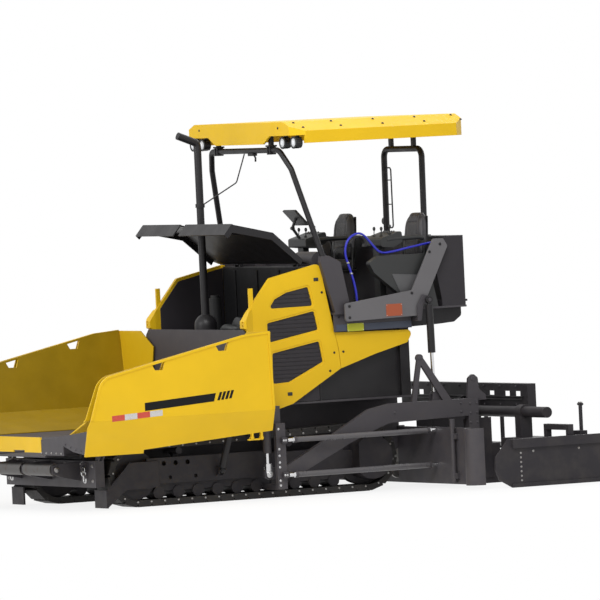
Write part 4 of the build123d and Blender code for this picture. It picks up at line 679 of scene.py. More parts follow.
def make_lamp_faces():
    """Domed lens, bezel ring and cooling fins of each of the four roof lamps."""
    lenses = Shape()
    bezels = Shape()
    for x, y in LAMP_PLACES:
        for side in (1, -1):
            foot = Vector((x - 0.002, side * y, LAMP_Z))
            lenses.lathe(foot, X_AXIS, LAMP_DOME, 32)
            bezels.lathe(foot, X_AXIS, LAMP_RING, 32)
            for fin in arc((x - 0.060, side * y, LAMP_Z), FIN_REACH, 0, 360, FIN_COUNT, Y_AXIS, Z_AXIS)[:-1]:
                bezels.lathe(fin, X_AXIS, [(0, 0.005), (0.045, 0.005)], 8)
    lenses.piece("lamp_lenses", "lamp_glass")
    bezels.piece("lamp_bezels", "black_plastic")


# Roof: its side slope falls by ROOF_FALL for each metre outward, and its front edge leans back by ROOF_SWEEP
ROOF_TOP_Z = 3.930
ROOF_FALL = 0.100 / 0.260
ROOF_SWEEP = 0.35


def make_canopy_fittings():
    """Roof bolts with their washers, and the clips that hold the hoops."""
    bolts = Shape()
    for x in (0.150, -0.300, -0.800, -1.300, -1.740):
        for side in (1, -1):
            for y in (1.050, 1.180):
                place = (x - ROOF_SWEEP * (y - 1.0), side * y, ROOF_TOP_Z - (y - 1.010) * ROOF_FALL)
                bolts.bolt(place, (0, side * ROOF_FALL, 1), 0.011)
    for y in (-0.9, 0.9):
        bolts.bolt((0.2395, y, 3.867), X_AXIS, 0.009)
        bolts.bolt((-1.8295, y, 3.790), -X_AXIS, 0.009)
    bolts.piece("canopy_bolts", "black_paint")
    clips = Shape()
    for side in (1, -1):
        for y in (0.575, 0.625):
            clips.box((0.130, side * y - 0.008, 3.590), (0.210, side * y + 0.008, 3.690), 0.003)
        clips.box((0.120, side * 0.600 - 0.040, 3.672), (0.220, side * 0.600 + 0.040, 3.690), 0.003)
    clips.box((0.140, 0.110, 3.580), (0.200, 0.220, 3.612), 0.004)
    clips.tube([(0.170, 0.200, 3.590), (0.172, 0.235, 3.560), (0.170, 0.228, 3.520)], 0.010)
    clips.piece("hoop_clips", "black_paint")


# Outer faces that side fittings stand on, as distances from the machine's middle plane
GUARD_Y = 1.225
FASCIA_Y = 1.125
PANEL_Y = 1.085
SIDE_BOX_Y = 1.1495
GUARD_BOLTS = (
    (-1.095, 2.060), (-1.330, 2.484), (-0.340, 1.960), (-0.340, 1.840), (-1.190, 1.900), (-1.460, 2.560),
)
PANEL_BOLTS = ((-0.093, 2.120), (-0.209, 1.479), (-0.318, 1.484), (0.690, 1.120), (-0.150, 1.290))
FASCIA_BOLTS = ((-0.260, 1.850), (-0.700, 1.850), (-1.090, 1.850))
SIDE_BOX_INSET = ((-0.906, 2.272), (-1.338, 2.239), (-1.200, 2.060), (-1.000, 2.065))


def make_side_marks():
    """Bolts, blank plates and the tinted strip on each side of the platform and the engine covers."""
    for name, side in SIDES:
        out = Vector((0, side, 0))
        dark = Shape()
        dark.side_bolts(side, GUARD_Y, GUARD_BOLTS, 0.011)
        dark.side_bolts(side, PANEL_Y, PANEL_BOLTS, 0.009)
        dark.side_bolts(side, FASCIA_Y, FASCIA_BOLTS, 0.009)
        dark.piece(f"side_bolts_{name}", "black_paint")
        orange = Shape()
        orange.box((-0.970, 1.224, 1.830), (-0.777, 1.228, 1.958), 0.0012, mirror(side))
        orange.piece(f"plate_orange_{name}", "plate_orange")
        rivets = Shape()
        for xs, y, zs in (
            ((-0.960, -0.787), 1.228, (1.840, 1.948)), ((-0.545, -0.366), 1.129, (1.702, 1.766)),
        ):
            for x in xs:
                for z in zs:
                    rivets.lathe((x, side * y, z), out, [(0, 0.004), (0.001, 0.004), (0.002, 0.002)], 12)
        rivets.piece(f"plate_rivets_{name}", "bright_steel")
        green = Shape()
        green.box((-0.554, 1.124, 1.693), (-0.357, 1.129, 1.775), 0.0012, mirror(side))
        green.piece(f"plate_green_{name}", "plate_green")
        strip = Shape()
        for rear, front in ((-1.125, -0.560), (-0.351, -0.225)):
            strip.box((rear, 1.1245, 1.700), (front, 1.1275, 1.770), 0.001, mirror(side))
        strip.piece(f"fascia_strip_{name}", "strip_blue")
        inset = Shape()
        outline = SIDE_BOX_INSET if side < 0 else SIDE_BOX_INSET[::-1]
        inset.plate([(x, side * SIDE_BOX_Y, z) for x, z in outline], 0.006)
        inset.piece(f"side_box_inset_{name}", "inset_gray")


# Engine bay: the firewall's front face, and the air cleaner's pipe and cap
FIREWALL_X = -0.034
AIR_CLEANER_PIPE = (
    (0.540, 0.420, 1.760), (0.610, 0.410, 1.770), (0.650, 0.300, 1.780), (0.600, 0.150, 1.740),
    (0.500, 0.060, 1.690),
)
AIR_CLEANER_CAP = [(0, 0.134), (0.020, 0.134), (0.030, 0.122), (0.036, 0.060)]


def make_bay():
    """Painted shade in the recessed bay: a near-black sheet with ribs on the firewall; and pipes, and bolts
    in the open engine bay.
    """
    shade_sheet = Shape()
    # Painted shade: a near-black sheet with ribs over the firewall.
    shade_sheet.box((-0.0395, -1.030, 0.985), (FIREWALL_X, 1.030, 2.385), 0.001)
    for y in (-0.75, -0.25, 0.25, 0.75):
        shade_sheet.box((FIREWALL_X, y - 0.02, 1.000), (-0.020, y + 0.02, 2.360), 0.004)
    shade_sheet.piece("bay_shade_sheet", "bay_black")
    pipes = Shape()
    for y, z in ((0.370, 1.520), (0.410, 1.440), (-0.400, 1.500)):
        end_y = 0.31 if y > 0 else -0.31
        route = [(-0.036, y, z), (0.040, y, z), (0.120, y * 0.97, z - 0.02), (0.170, end_y, z - 0.06)]
        pipes.tube(smooth_line(route), 0.014, 12)
    pipes.tube(smooth_line(AIR_CLEANER_PIPE), 0.045, 16)
    pipes.lathe((0.556, 0.420, 1.760), X_AXIS, AIR_CLEANER_CAP, 32)
    pipes.piece("bay_pipes", "black_plastic")
    bolts = Shape()
    for xs, ys, z in (
        ((0.080, 0.220, 0.360, 0.500), (-0.105, 0.105), 1.730),
        ((0.660, 0.740), (-0.870, -0.625, -0.380), 1.740),
    ):
        for x in xs:
            for y in ys:
                bolts.bolt((x, y, z), Z_AXIS, 0.010)
    bolts.piece("bay_bolts", "bright_steel")


# Front: the beam's front face, and the hooks and the short chains that hang on it
BEAM_X = 2.650
HOOK_X = 2.692
HOOK_Y = 0.860
CHAIN_X = 2.664
CHAIN_Y = 0.760
LINK_HALF_WIDTH = 0.008
LINK_HALF_LENGTH = 0.0145
LINK_STEPS = 16


def make_front_fittings():
    """Bolts and end covers on the front, and a hook and a short chain on each side."""
    bolts = Shape()
    for side in (1, -1):
        for number in range(5):
            bolts.bolt((3.000, side * (0.520 + number * 0.115), 0.608), X_AXIS, 0.008)
        for z in (0.455, 0.300):
            bolts.bolt((BEAM_X, side * 0.985, z), X_AXIS, 0.013)
        cover = [(0, 0.028), (0.006, 0.028), (0.010, 0.022)]
        bolts.lathe((2.930, side * 0.711, 0.430), (0, side, 0), cover, 24)
    for y in (-0.352, 0.352):
        bolts.bolt((BEAM_X, y, 0.480), X_AXIS, 0.012)
    bolts.piece("front_bolts", "bare_steel")
    hooks = Shape()
    for side in (1, -1):
        y = side * HOOK_Y
        hooks.tube(arc((HOOK_X, y, 0.419), 0.028, 0, 337, 15, Y_AXIS, Z_AXIS), 0.006, 8, True)
        hooks.tube(arc((HOOK_X, y, 0.377), 0.024, 0, 337, 15, X_AXIS, Z_AXIS), 0.008, 8, True)
        bend = arc((HOOK_X, y + 0.027, 0.315), 0.027, 190, 385, 16, Y_AXIS, Z_AXIS)
        hooks.tube([(HOOK_X, y, 0.356), (HOOK_X, y, 0.335), (HOOK_X, y, 0.315), *bend], 0.011, 10)
        y = side * CHAIN_Y
        hooks.bolt((BEAM_X, y, 0.490), X_AXIS, 0.010)
        hooks.tube(arc((CHAIN_X, y, 0.480), 0.012, 0, 330, 12, X_AXIS, Z_AXIS), 0.004, 8, True)
        for number in range(3):
            axis = (Y_AXIS, X_AXIS)[number % 2]
            hooks.tube(chain_link((CHAIN_X, y, 0.462 - number * 0.021), axis), 0.0028, 6, True)
    hooks.piece("front_hooks", "bright_steel")


def chain_link(centre, side):
    """The line of one chain link that stands upright."""
    points = []
    for step in range(LINK_STEPS):
        angle = 2 * math.pi * step / LINK_STEPS
        across = side * (LINK_HALF_WIDTH * math.cos(angle))
        points.append(Vector(centre) + across + Z_AXIS * (LINK_HALF_LENGTH * math.sin(angle)))
    return points


# Tow points: the arm's outer face, the push struts' line and heights, and (x, z) of the bolts
ARM_Y = 1.360
STRUT_Y = 1.450
STRUT_LEVELS = (0.245, 0.610)
TOW_PLATE_LEVELS = (0.140, 0.190, 0.330, 0.380, 0.450, 0.520, 0.730)
ARM_BOLTS = ((0.600, 0.290), (0.530, 0.275), (-0.750, 0.815), (-1.550, 0.870), (-1.550, 0.780))


def make_tow_fittings():
    """Pin caps and bolts at the tow points, the rod ends of the push struts and the bolts of the arms."""
    for name, side in SIDES:
        out = Vector((0, side, 0))
        caps = Shape()
        tow_cap = [(0, 0.036), (0.008, 0.036), (0.013, 0.030), (0.013, 0.020)]
        caps.lathe((0.770, side * ARM_Y, 0.260), out, tow_cap, 28)
        caps.bolt((0.770, side * 1.372, 0.260), out, 0.013)
        caps.side_bolts(side, 1.440, [(0.685, z) for z in TOW_PLATE_LEVELS], 0.009)
        caps.side_bolts(side, 1.480, [(x, z) for z in STRUT_LEVELS for x in (0.622, 0.648)], 0.008)
        caps.piece(f"tow_bolts_{name}", "bright_steel")
        sleeves = Shape()
        ends = Shape()
        for z in STRUT_LEVELS:
            sleeves.lathe((-1.075, side * STRUT_Y, z), X_AXIS, [(0, 0.0293), (1.560, 0.0293)], 28)
            for x, along in ((0.512, X_AXIS), (-1.102, -X_AXIS)):
                foot = Vector((x, side * STRUT_Y, z))
                ends.lathe(foot, along, [(0, 0.031), (0.018, 0.031), (0.023, 0.026)], 6)
                ends.lathe(foot + along * 0.020, along, [(0, 0.0205), (0.055, 0.0205)], 20)
        sleeves.piece(f"strut_sleeves_{name}", "strut_gray")
        ends.piece(f"strut_ends_{name}", "chrome_rod")
        arm = Shape()
        arm.side_bolts(side, ARM_Y, ARM_BOLTS, 0.010)
        rear_plate = [(x, z) for x in (-1.740, -1.660) for z in (0.460, 0.560, 0.660, 0.760, 0.860)]
        arm.side_bolts(side, ARM_Y, rear_plate, 0.010)
        arm.lathe((-1.082, side * 1.352, 1.375), out, [(0, 0.024), (0.008, 0.024), (0.010, 0.020)], 24)
        arm.lathe((-1.718, side * 1.340, 1.120), out, [(0, 0.026), (0.010, 0.026), (0.013, 0.022)], 24)
        arm.piece(f"arm_bolts_{name}", "dark_gray_paint", "screed")


# Track pins: the shoes' outer face, (x, reach) of the wheels, and the pins' depth under the lugs' tips
SHOE_FACE_Y = 1.070
IDLER = (2.180, 0.330)
SPROCKET = (-0.550, 0.360)
PIN_DEPTH = 0.052
PIN_COUNT = 46


def make_track_pins():
    """Pin heads along the outer side of each track."""
    for name, side in SIDES:
        pins = Shape()
        for number in range(PIN_COUNT):
            x, z = track_point(number / PIN_COUNT)
            head = [(0, 0.011), (0.003, 0.011), (0.005, 0.008)]
            pins.lathe((x, side * SHOE_FACE_Y, z), (0, side, 0), head, 12)
        pins.piece(f"track_pins_{name}", "bare_steel")


def track_point(share):
    """A point on the loop that the pins follow: lower run, sprocket, upper run, idler."""
    (idler_x, idler_z), (sprocket_x, sprocket_z) = IDLER, SPROCKET
    idler, sprocket = idler_z - PIN_DEPTH, sprocket_z - PIN_DEPTH
    run = idler_x - sprocket_x
    distance = share * (2 * run + (idler + sprocket) * math.pi)
    if distance < run:
        return idler_x - distance, PIN_DEPTH
    distance -= run
    if distance < sprocket * math.pi:
        angle = -math.pi / 2 - distance / sprocket
        return sprocket_x + sprocket * math.cos(angle), sprocket_z + sprocket * math.sin(angle)
    distance -= sprocket * math.pi
    if distance < run:
        return sprocket_x + distance, 2 * sprocket_z - PIN_DEPTH + 2 * (idler_z - sprocket_z) * distance / run
    angle = math.pi / 2 - (distance - run) / idler
    return idler_x + idler * math.cos(angle), idler_z + idler * math.sin(angle)


# Screed: the end gates' outer face, and the raised pattern of the walkway
GATE_Y = 2.515
TREAD_FOOT = (-3.025, -1.218, 0.345)
TREAD_STEP = (0.054, 0.0507)
TREAD_COLUMNS = 9
TREAD_ROWS = 49


def make_screed_fittings():
    """Bolts, pipes and the walkway's treads on the screed, and the end gates' bolts."""
    bolts = Shape()
    for side in (1, -1):
        for y in (0.100, 0.450, 0.800, 1.150):
            for z in (0.805, 1.000):
                bolts.bolt((-2.340, side * y, z), X_AXIS, 0.010)
    bolts.piece("screed_bolts", "dark_gray_paint", "screed")
    treads = Shape()
    for column in range(TREAD_COLUMNS):
        for row in range(TREAD_ROWS):
            turn = Matrix.Rotation(math.radians(45 if (row + column) % 2 else -45), 4, "Z")
            step = Vector((column * TREAD_STEP[0], row * TREAD_STEP[1], 0))
            place = Matrix.Translation(Vector(TREAD_FOOT) + step) @ turn
            treads.box((-0.014, -0.004, 0.0), (0.014, 0.004, 0.0025), 0.0012, place)
    treads.piece("walkway_treads", "dark_gray_paint", "screed")
    pipes = Shape()
    for z in (0.860, 0.890):
        pipes.tube([(-2.335, -1.30, z), (-2.335, 1.30, z)], 0.008, 10)
    pipes.piece("screed_pipes", "black_paint", "screed")
    for name, side in SIDES:
        marks = Shape()
        marks.side_bolts(side, GATE_Y, [(x, 0.370) for x in (-1.75, -2.30, -2.85)], 0.009)
        marks.side_bolts(side, GATE_Y, [(-1.600, 0.070 + number * 0.048) for number in range(7)], 0.008)
        marks.lathe((-2.480, side * 2.270, 0.830), Z_AXIS, [(0, 0.024), (0.008, 0.024), (0.012, 0.016)], 20)
        marks.piece(f"gate_bolts_{name}", "bare_steel", f"extension_{name}")


# Consoles: y of each console's middle, (x, y from the middle) of its levers, the levers' profiles,
# the upper and lower edges of the display and the bars of its rim
CONSOLE_Y = 0.850
LEVERS = ((-0.930, -0.10), (-0.930, 0.06), (-1.000, 0.12))
BOOT = [(0, 0.020), (0.006, 0.020), (0.016, 0.010)]
GRIP = [(0, 0.007), (0.008, 0.013), (0.026, 0.016), (0.038, 0.012), (0.044, 0.003)]
DISPLAY_HIGH = Vector((-0.780, -0.850, 2.968))
DISPLAY_LOW = Vector((-0.932, -0.850, 2.808))
DISPLAY_RIM = (
    ((-0.139, -0.109), (0.139, -0.091)), ((-0.139, 0.091), (0.139, 0.109)),
    ((-0.139, -0.109), (-0.121, 0.109)), ((0.121, -0.109), (0.139, 0.109)),
)


def make_controls():
    """Levers and switches on the consoles, and the screen of the display with its rim."""
    levers = Shape()
    knobs = Shape()
    for side in (1, -1):
        middle = side * CONSOLE_Y
        for x, dy in LEVERS:
            y, top = middle + dy, console_top(x)
            levers.lathe((x, y, top), Z_AXIS, BOOT, 20)
            levers.tube([(x, y, top + 0.010), (x - 0.004, y, top + 0.060)], 0.005, 8)
            levers.lathe((x - 0.004, y, top + 0.055), Z_AXIS, GRIP, 16)
        for column in range(6):
            for row in range(2):
                x = -1.030 - row * 0.035
                foot = (x, middle - 0.13 + column * 0.045, console_top(x))
                knobs.lathe(foot, Z_AXIS, [(0, 0.009), (0.010, 0.009), (0.013, 0.006)], 12)
    levers.piece("console_levers", "black_plastic")
    knobs.piece("console_knobs", "inset_gray")
    down = (DISPLAY_LOW - DISPLAY_HIGH).normalized()
    turn = Matrix((Y_AXIS, down, Y_AXIS.cross(down))).transposed().to_4x4()
    place = Matrix.Translation((DISPLAY_HIGH + DISPLAY_LOW) / 2) @ turn
    screen = Shape()
    screen.box((-0.122, -0.091, -0.001), (0.122, 0.091, 0.003), 0.0008, place)
    screen.piece("display_screen", "display_glass")
    rim = Shape()
    for low, high in DISPLAY_RIM:
        rim.box((*low, -0.001), (*high, 0.006), 0.002, place)
    rim.piece("display_rim", "black_plastic")


def console_top(x):
    """Height of the console's sloped top."""
    return 2.650 + (-0.850 - x) * 0.072 / 0.250 - 0.001


# Rear: the bend of the hoop's handle, the hoop's work lamp, and the disc of the cabinet's latches
HANDLE_BEND = 0.032
HOOP_LAMP = Vector((-1.735, -0.535, 2.800))
HOOP_LAMP_BODY = [(0, 0.020), (0.010, 0.036), (0.045, 0.045), (0.055, 0.045), (0.058, 0.040)]
HOOP_LAMP_LENS = [(0, 0.039), (0.003, 0.036), (0.006, 0.020), (0.007, 0.003)]
LATCH_DISC = [(0, 0.010), (0.006, 0.010), (0.008, 0.006)]


def make_rear_fittings():
    """The thin bent handle and the small work lamp on the rear hoop, and the cabinet's latches."""
    handle = Shape()
    upper = arc((-1.715, -0.290, 3.340), HANDLE_BEND, 90, 0, 6, Y_AXIS, Z_AXIS)
    lower = arc((-1.715, -0.290, 2.760), HANDLE_BEND, 0, -90, 6, Y_AXIS, Z_AXIS)
    handle.tube([(-1.720, -0.400, 3.372), *upper, *lower, (-1.720, -0.400, 2.728)], 0.008, 10)
    for z in (2.980, 3.240):
        handle.tube([(-1.722, -0.395, z), (-1.715, -0.258, z)], 0.006, 8)
    handle.piece("hoop_handle", "black_paint")
    lamp = Shape()
    lamp.lathe(HOOP_LAMP, -X_AXIS, HOOP_LAMP_BODY, 24)
    lamp.tube([(-1.730, -0.440, 2.800), (-1.735, -0.520, 2.800)], 0.010, 8)
    lamp.piece("hoop_lamp", "black_plastic")
    lens = Shape()
    lens.lathe(HOOP_LAMP - X_AXIS * 0.0575, -X_AXIS, HOOP_LAMP_LENS, 24)
    lens.piece("hoop_lamp_lens", "lamp_glass")
    latches = Shape()
    for y in (-0.80, -0.27, 0.27, 0.80):
        latches.box((-1.786, y - 0.030, 2.285), (-1.779, y + 0.030, 2.315), 0.003)
        latches.lathe((-1.786, y, 2.300), -X_AXIS, LATCH_DISC, 16)
    latches.piece("cabinet_latches", "bright_steel")


# Seats: middle of each seat, the pads' sizes, places and seams, how cloth swells them,
# and the shell's grid and the armrests' lines as (x, z)
SEAT_X = -1.200
SEAT_Y = 0.800
SEAT_TOP_Z = 2.2805
CUSHION_SIZE = (0.42, 0.48, 0.11)
CUSHION_HALF = (0.208, 0.238, 0.050)
CUSHION_PLACE = Vector((-0.038, 0, SEAT_TOP_Z + 0.062))
BACK_SIZE = (0.085, 0.42, 0.52)
BACK_HALF = (0.040, 0.226, 0.262)
BACK_PLACE = Vector((-0.210, 0, 2.652))
BACK_LEAN = Matrix.Rotation(math.radians(-6.5), 4, "Y")
SEAM_WIDTH = 0.007
SEAM_DEPTH = 0.007
PAD_STEPS = 20
PAD_CLOTH = {
    "use_pressure": True, "uniform_pressure_force": 4.0, "quality": 5, "tension_stiffness": 12,
    "compression_stiffness": 12, "bending_stiffness": 1.5,
}
PAD_CAP = 0.014
VOXEL = 0.010
SHELL_ROWS = 8
SHELL_COLUMNS = 12
ARMREST = ((-1.365, 2.630), (-1.300, 2.642), (-1.100, 2.642), (-0.960, 2.636), (-0.925, 2.628))
ARMREST_POST = ((-1.350, 2.630), (-1.375, 2.520), (-1.360, 2.300))


def block_grid(size, cuts, shape_point):
    """A closed box of square cells whose points are then moved by a function."""
    steps = [max(2, round(s / cuts)) for s in size]
    index = {}
    points, faces = [], []

    def number(key):
        if key not in index:
            index[key] = len(points)
            points.append(shape_point(Vector([place / step * 2 - 1 for place, step in zip(key, steps)])))
        return index[key]

    for first, second, third, turned in ((0, 1, 2, 0), (0, 2, 1, 1), (1, 2, 0, 0)):
        for row in range(steps[first]):
            for column in range(steps[second]):
                for end in (0, 1):
                    face = []
                    for along, up in ((0, 0), (0, 1), (1, 1), (1, 0)):
                        if end != turned:
                            along, up = up, along
                        key = [end * steps[third]] * 3
                        key[first] = row + along
                        key[second] = column + up
                        face.append(number(tuple(key)))
                    faces.append(tuple(face))
    return points, faces


def rounded_point(unit, half, power=6.0):
    """A unit box point on a soft-cornered pad of these half sizes."""
    reach = sum(abs(c) ** power for c in unit) ** (1 / power)
    share = max(abs(c) for c in unit) / reach
    return Vector([c * h * share for c, h in zip(unit, half)])


def inflate(obj):
    """Blows the pad up a little with cloth, holding how far any point may go."""
    before = [v.co.copy() for v in obj.data.vertices]
    cloth = obj.modifiers.new("cloth", "CLOTH")
    for key, value in PAD_CLOTH.items():
        setattr(cloth.settings, key, value)
    cloth.settings.effector_weights.gravity = 0
    cloth.point_cache.frame_start = 1
    cloth.point_cache.frame_end = PAD_STEPS
    scene = bpy.context.scene
    for step in range(1, PAD_STEPS + 1):
        scene.frame_set(step)
    graph = bpy.context.evaluated_depsgraph_get()
    blown = obj.evaluated_get(graph).to_mesh()
    moved = [v.co.copy() for v in blown.vertices]
    obj.evaluated_get(graph).to_mesh_clear()
    obj.modifiers.remove(cloth)
    scene.frame_set(1)
    for vertex, start, end in zip(obj.data.vertices, before, moved):
        shift = end - start
        if shift.length > PAD_CAP:
            shift = shift.normalized() * PAD_CAP
        vertex.co = start + shift


def groove(obj, seams):
    """Presses sewn channels into a pad: seams gives a point's distances from the seams of its face."""
    normals = [v.normal.copy() for v in obj.data.vertices]
    for vertex, normal in zip(obj.data.vertices, normals):
        press = max(math.exp(-((distance / SEAM_WIDTH) ** 2)) for distance in seams(vertex.co, normal))
        vertex.co = vertex.co - normal * (press * SEAM_DEPTH)


def make_pad(name, size, shape_point, seams, place):
    """One padded piece: a soft block, blown up, sewn and set in place."""
    mesh = outward_mesh(name, *block_grid(size, VOXEL, shape_point))
    pad = add_object(name, mesh)
    inflate(pad)
    mesh.update()
    groove(pad, seams)
    mesh.update()
    mesh.shade_smooth()
    smooth = pad.modifiers.new("round", "SUBSURF")
    smooth.levels = smooth.render_levels = 1
    mesh.materials.append(FINISHES["seat_cover"][0])
    pad.matrix_world = place
    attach(pad, "chassis")
    return pad


def make_seats():
    """Both seats: cushion and back with sewn bolsters, a moulded shell behind and two armrests."""
    for name, side in SIDES:
        middle = Vector((SEAT_X, side * SEAT_Y, 0))
        cushion_place = Matrix.Translation(middle + CUSHION_PLACE)
        cushion = make_pad(f"seat_cushion_{name}", CUSHION_SIZE, cushion_point, cushion_seams, cushion_place)
        back_place = Matrix.Translation(middle + BACK_PLACE) @ BACK_LEAN
        make_pad(f"seat_back_{name}", BACK_SIZE, back_point, back_seams, back_place)
        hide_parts(f"seat_{name}")
        shell = Shape()
        shell.loft([shell_ring(middle, row / SHELL_ROWS) for row in range(SHELL_ROWS + 1)])
        y = side * SEAT_Y
        for arm in (y - 0.232, y + 0.232):
            shell.tube([(x, arm, z) for x, z in ARMREST], 0.024, 14)
            shell.tube([(x, arm, z) for x, z in ARMREST_POST], 0.012, 10)
        shell.box((-1.430, y - 0.215, SEAT_TOP_Z), (-1.040, y + 0.215, 2.297), 0.004)
        for bar_y in (y - 0.120, y + 0.080):
            shell.box((-1.452, bar_y, 2.300), (-1.430, bar_y + 0.040, 2.480), 0.004)
        shell.piece(f"seat_shell_{name}", "black_plastic")


def shell_ring(middle, share):
    """One level of the curved shell behind a seat's back, from its foot at 0 to its head at 1."""
    z = 2.330 + 0.530 * share
    x = -0.240 - 0.050 * share
    half = 0.205 - 0.080 * max(0.0, share - 0.55) ** 1.2 - 0.02 * (1 - share)
    spread = [step / SHELL_COLUMNS * 2 - 1 for step in range(SHELL_COLUMNS + 1)]
    front = [middle + Vector((x + 0.030 * s * s, s * half, z)) for s in spread]
    behind = [middle + Vector((x - 0.008 + 0.030 * s * s, -s * half, z)) for s in spread]
    return front + behind


def cushion_point(unit):
    """Seat cushion: crowned on top, flat below, sides drawn in between the corners."""
    point = rounded_point(unit, CUSHION_HALF)
    if unit.z > 0:
        point.z += 0.010 * (1 - unit.x**2) * (1 - unit.y**2) * unit.z
    point.x *= 1 - 0.018 * (1 - unit.y**2) * abs(unit.z)
    point.y *= 1 - 0.014 * (1 - unit.x**2) * abs(unit.z)
    return point


def cushion_seams(point, normal):
    """Distances to the cushion's centre panel seams and its side welt."""
    if normal.z <= 0.4:
        return [abs(point.z - 0.022)]
    distances = [1.0]
    if abs(point.x) < 0.17:
        distances.append(abs(abs(point.y) - 0.125))
    if abs(point.y) < 0.125:
        distances += [abs(abs(point.x) - 0.150), abs(point.x)]
    return distances


def back_point(unit):
    """Seat back: rounded head, waist above the cushion, bolsters at the sides."""
    point = rounded_point(unit, BACK_HALF, 4.5)
    t = (unit.z + 1) / 2
    point.y *= 1.0 - 0.26 * (max(0.0, t - 0.35) / 0.65) ** 1.2 - 0.04 * (1 - t)
    if unit.x > 0:
        bolster = 0.014 * abs(unit.y) ** 3 * (1 - abs(unit.z) ** 4)
        lumbar = 0.012 * math.exp(-(((t - 0.28) / 0.18) ** 2)) * (1 - unit.y**2)
        point.x += (bolster + lumbar) * unit.x
    return point


def back_seams(point, normal):
    """Distances to the back's centre panel seams and its welt."""
    if normal.x <= 0.4:
        return [abs(point.x - 0.012)]
    distances = [1.0]
    if abs(point.z) < 0.21:
        distances.append(abs(abs(point.y) - 0.110))
    if abs(point.y) < 0.110:
        distances += [abs(point.z + 0.090), abs(point.z - 0.140)]
    return distances


# Hose fittings: the run and the share of it where each clamp sits, and the end nuts' profiles
CLAMPS = ((2, 0.55), (3, 0.25))
CLAMP_RING = [(0, 0.0135), (0.002, 0.0155), (0.014, 0.0155), (0.016, 0.0135)]
LOWER_NUT = [(0, 0.021), (0.012, 0.021), (0.016, 0.015), (0.050, 0.0145)]
REAR_NUT = [(-0.010, 0.021), (0.012, 0.021), (0.016, 0.0145), (0.045, 0.0145)]


def make_hose_fittings():
    """Clamps and end nuts on the water hose."""
    rings = Shape()
    for number, share in CLAMPS:
        a, b = Vector(HOSE_ROUTE[number]), Vector(HOSE_ROUTE[number + 1])
        foot = a.lerp(b, share)
        rings.lathe(foot, b - a, CLAMP_RING, 20)
        rings.box(foot + Vector((-0.006, 0.012, 0)), foot + Vector((0.006, 0.024, 0.012)), 0.002)
    rings.lathe((-0.500, 1.106, 1.934), Z_AXIS, LOWER_NUT, 6)
    rings.lathe((-1.548, 1.104, 2.582), X_AXIS, REAR_NUT, 6)
    rings.piece("hose_clamps", "bright_steel")


def make_panel_fittings():
    """Latches on the engine covers."""
    for name, side in SIDES:
        latch = Shape()
        for x, z in ((0.640, 1.240), (0.340, 1.075), (-0.030, 2.260)):
            latch.box((x - 0.028, 1.083, z - 0.018), (x + 0.028, 1.091, z + 0.018), 0.003, mirror(side))
            latch.lathe((x, side * 1.090, z), (0, side, 0), [(0, 0.010), (0.004, 0.010), (0.006, 0.006)], 16)
        latch.piece(f"panel_latches_{name}", "black_plastic")


# Hood: two points of its raised front part, and the stretches from right to left and the reach of the painted
# highlight on its lip
HOOD_CREASE = Vector((0.421, 0, 2.775))
HOOD_FRONT = Vector((0.909, 0, 2.887))
LIP_STRETCHES = ((-1.024, -0.152), (-0.028, 1.024))
LIP_REACH = (0.480, 0.500)


def make_hood_lip_highlight():
    """Painted highlight: a lighter strip on the folded lip along the hood's front edge."""
    lip = Shape()
    slant = (HOOD_FRONT - HOOD_CREASE).normalized()
    up = Vector((-slant.z, 0, slant.x))
    near, far = [HOOD_CREASE + slant * reach + up * 0.001 for reach in LIP_REACH]
    for right, left in LIP_STRETCHES:
        corners = [near + Y_AXIS * right, far + Y_AXIS * right, far + Y_AXIS * left, near + Y_AXIS * left]
        lip.plate(corners, 0.004)
    lip.piece("hood_lip_highlight", "hood_edge", "hood")


def rays_seen(tree):
    """1 for rays from the camera, in reflections and through glass, 0 for those that only light."""
    path = tree.nodes.new("ShaderNodeLightPath")
    seen = path.outputs["Is Camera Ray"]
    for name in ("Is Glossy Ray", "Is Transmission Ray"):
        either = tree.nodes.new("ShaderNodeMath")
        either.operation = "MAXIMUM"
        tree.links.new(seen, either.inputs[0])
        tree.links.new(path.outputs[name], either.inputs[1])
        seen = either.outputs[0]
    return seen


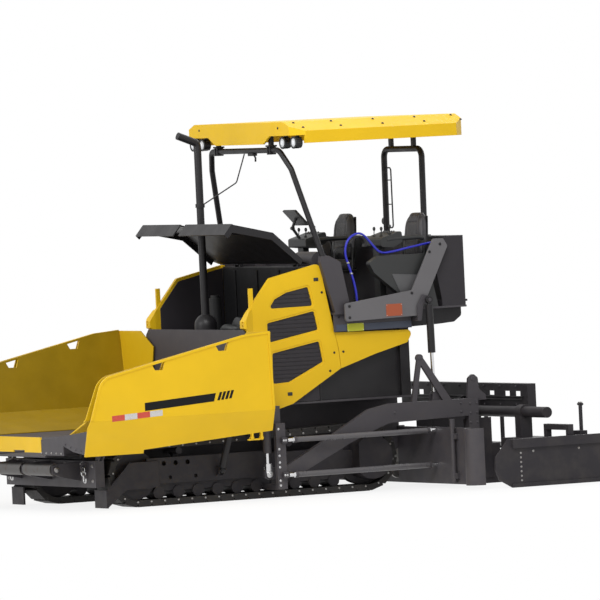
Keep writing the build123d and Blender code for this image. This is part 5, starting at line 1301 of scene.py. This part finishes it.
def make_floor():
    """A pale floor that keeps the machine's shadow and fades into the white backdrop."""
    ring = arc((0, 0, -0.001), FLOOR_RADIUS, 0, 357, 119, X_AXIS, Y_AXIS)
    mesh = bpy.data.meshes.new("floor")
    mesh.from_pydata([tuple(p) for p in ring], [], [tuple(range(len(ring)))])
    floor = add_object("floor", mesh)
    n = Nodes("floor")
    n.finish(FLOOR_COLOR, 0.85)
    length = n.add("ShaderNodeVectorMath", {0: n.position}, operation="LENGTH").outputs["Value"]
    share = n.times(rays_seen(n.tree), n.ramp(length, *FLOOR_FADE, 1.0 - FLOOR_SHADE, 1.0))
    glow = n.add("ShaderNodeEmission", {"Strength": BACKDROP_WHITE})
    blend = n.add("ShaderNodeMixShader", {0: share, 1: n.shader.outputs[0], 2: glow.outputs[0]})
    n.feed(n.tree.nodes["Material Output"], {"Surface": blend.outputs[0]})
    mesh.materials.append(n.material)


def make_world():
    """White for the camera and in reflections, softer where it lights the machine."""
    world = bpy.data.worlds.new("studio")
    bpy.context.scene.world = world
    world.use_nodes = True
    tree = world.node_tree
    background = tree.nodes["Background"]
    strength = tree.nodes.new("ShaderNodeMapRange")
    strength.inputs["To Min"].default_value = WORLD_STRENGTH
    strength.inputs["To Max"].default_value = BACKDROP_WHITE
    tree.links.new(rays_seen(tree), strength.inputs["Value"])
    tree.links.new(strength.outputs["Result"], background.inputs["Strength"])
    background.inputs["Color"].default_value = (1.0, 1.0, 1.0, 1.0)


def make_lamp(name, place, target, size, power):
    """A soft rectangular studio lamp."""
    data = bpy.data.lights.new(name, "AREA")
    data.shape = "RECTANGLE"
    data.size, data.size_y = size
    data.energy = power
    lamp = add_object(name, data)
    lamp.location = place
    lamp.rotation_euler = (Vector(target) - Vector(place)).to_track_quat("-Z", "Y").to_euler()


def make_lights():
    make_lamp("key", (5.0, 9.0, 10.0), (0.0, 1.0, 3.0), (6.0, 5.0), 900)
    make_lamp("top", (-1.0, 0.0, 12.0), (0.0, 0.0, 2.0), (8.0, 8.0), 500)
    make_lamp("front", (13.0, 1.0, 6.0), (0.0, 0.0, 2.5), (5.0, 5.0), 500)
    make_lamp("rear", (-12.0, -8.0, 8.0), (0.0, 0.0, 1.5), (7.0, 5.0), 500)


bpy.context.scene.view_settings.view_transform = "Standard"
make_camera()
make_hose(FINISHES["blue_hose"][0])
dress_frame()
make_wing_marks()
make_wing_fittings()
make_lamp_faces()
make_canopy_fittings()
make_side_marks()
make_bay()
make_front_fittings()
make_tow_fittings()
make_track_pins()
make_screed_fittings()
make_controls()
make_rear_fittings()
make_seats()
make_hose_fittings()
make_panel_fittings()
make_hood_lip_highlight()
make_floor()
make_world()
make_lights()
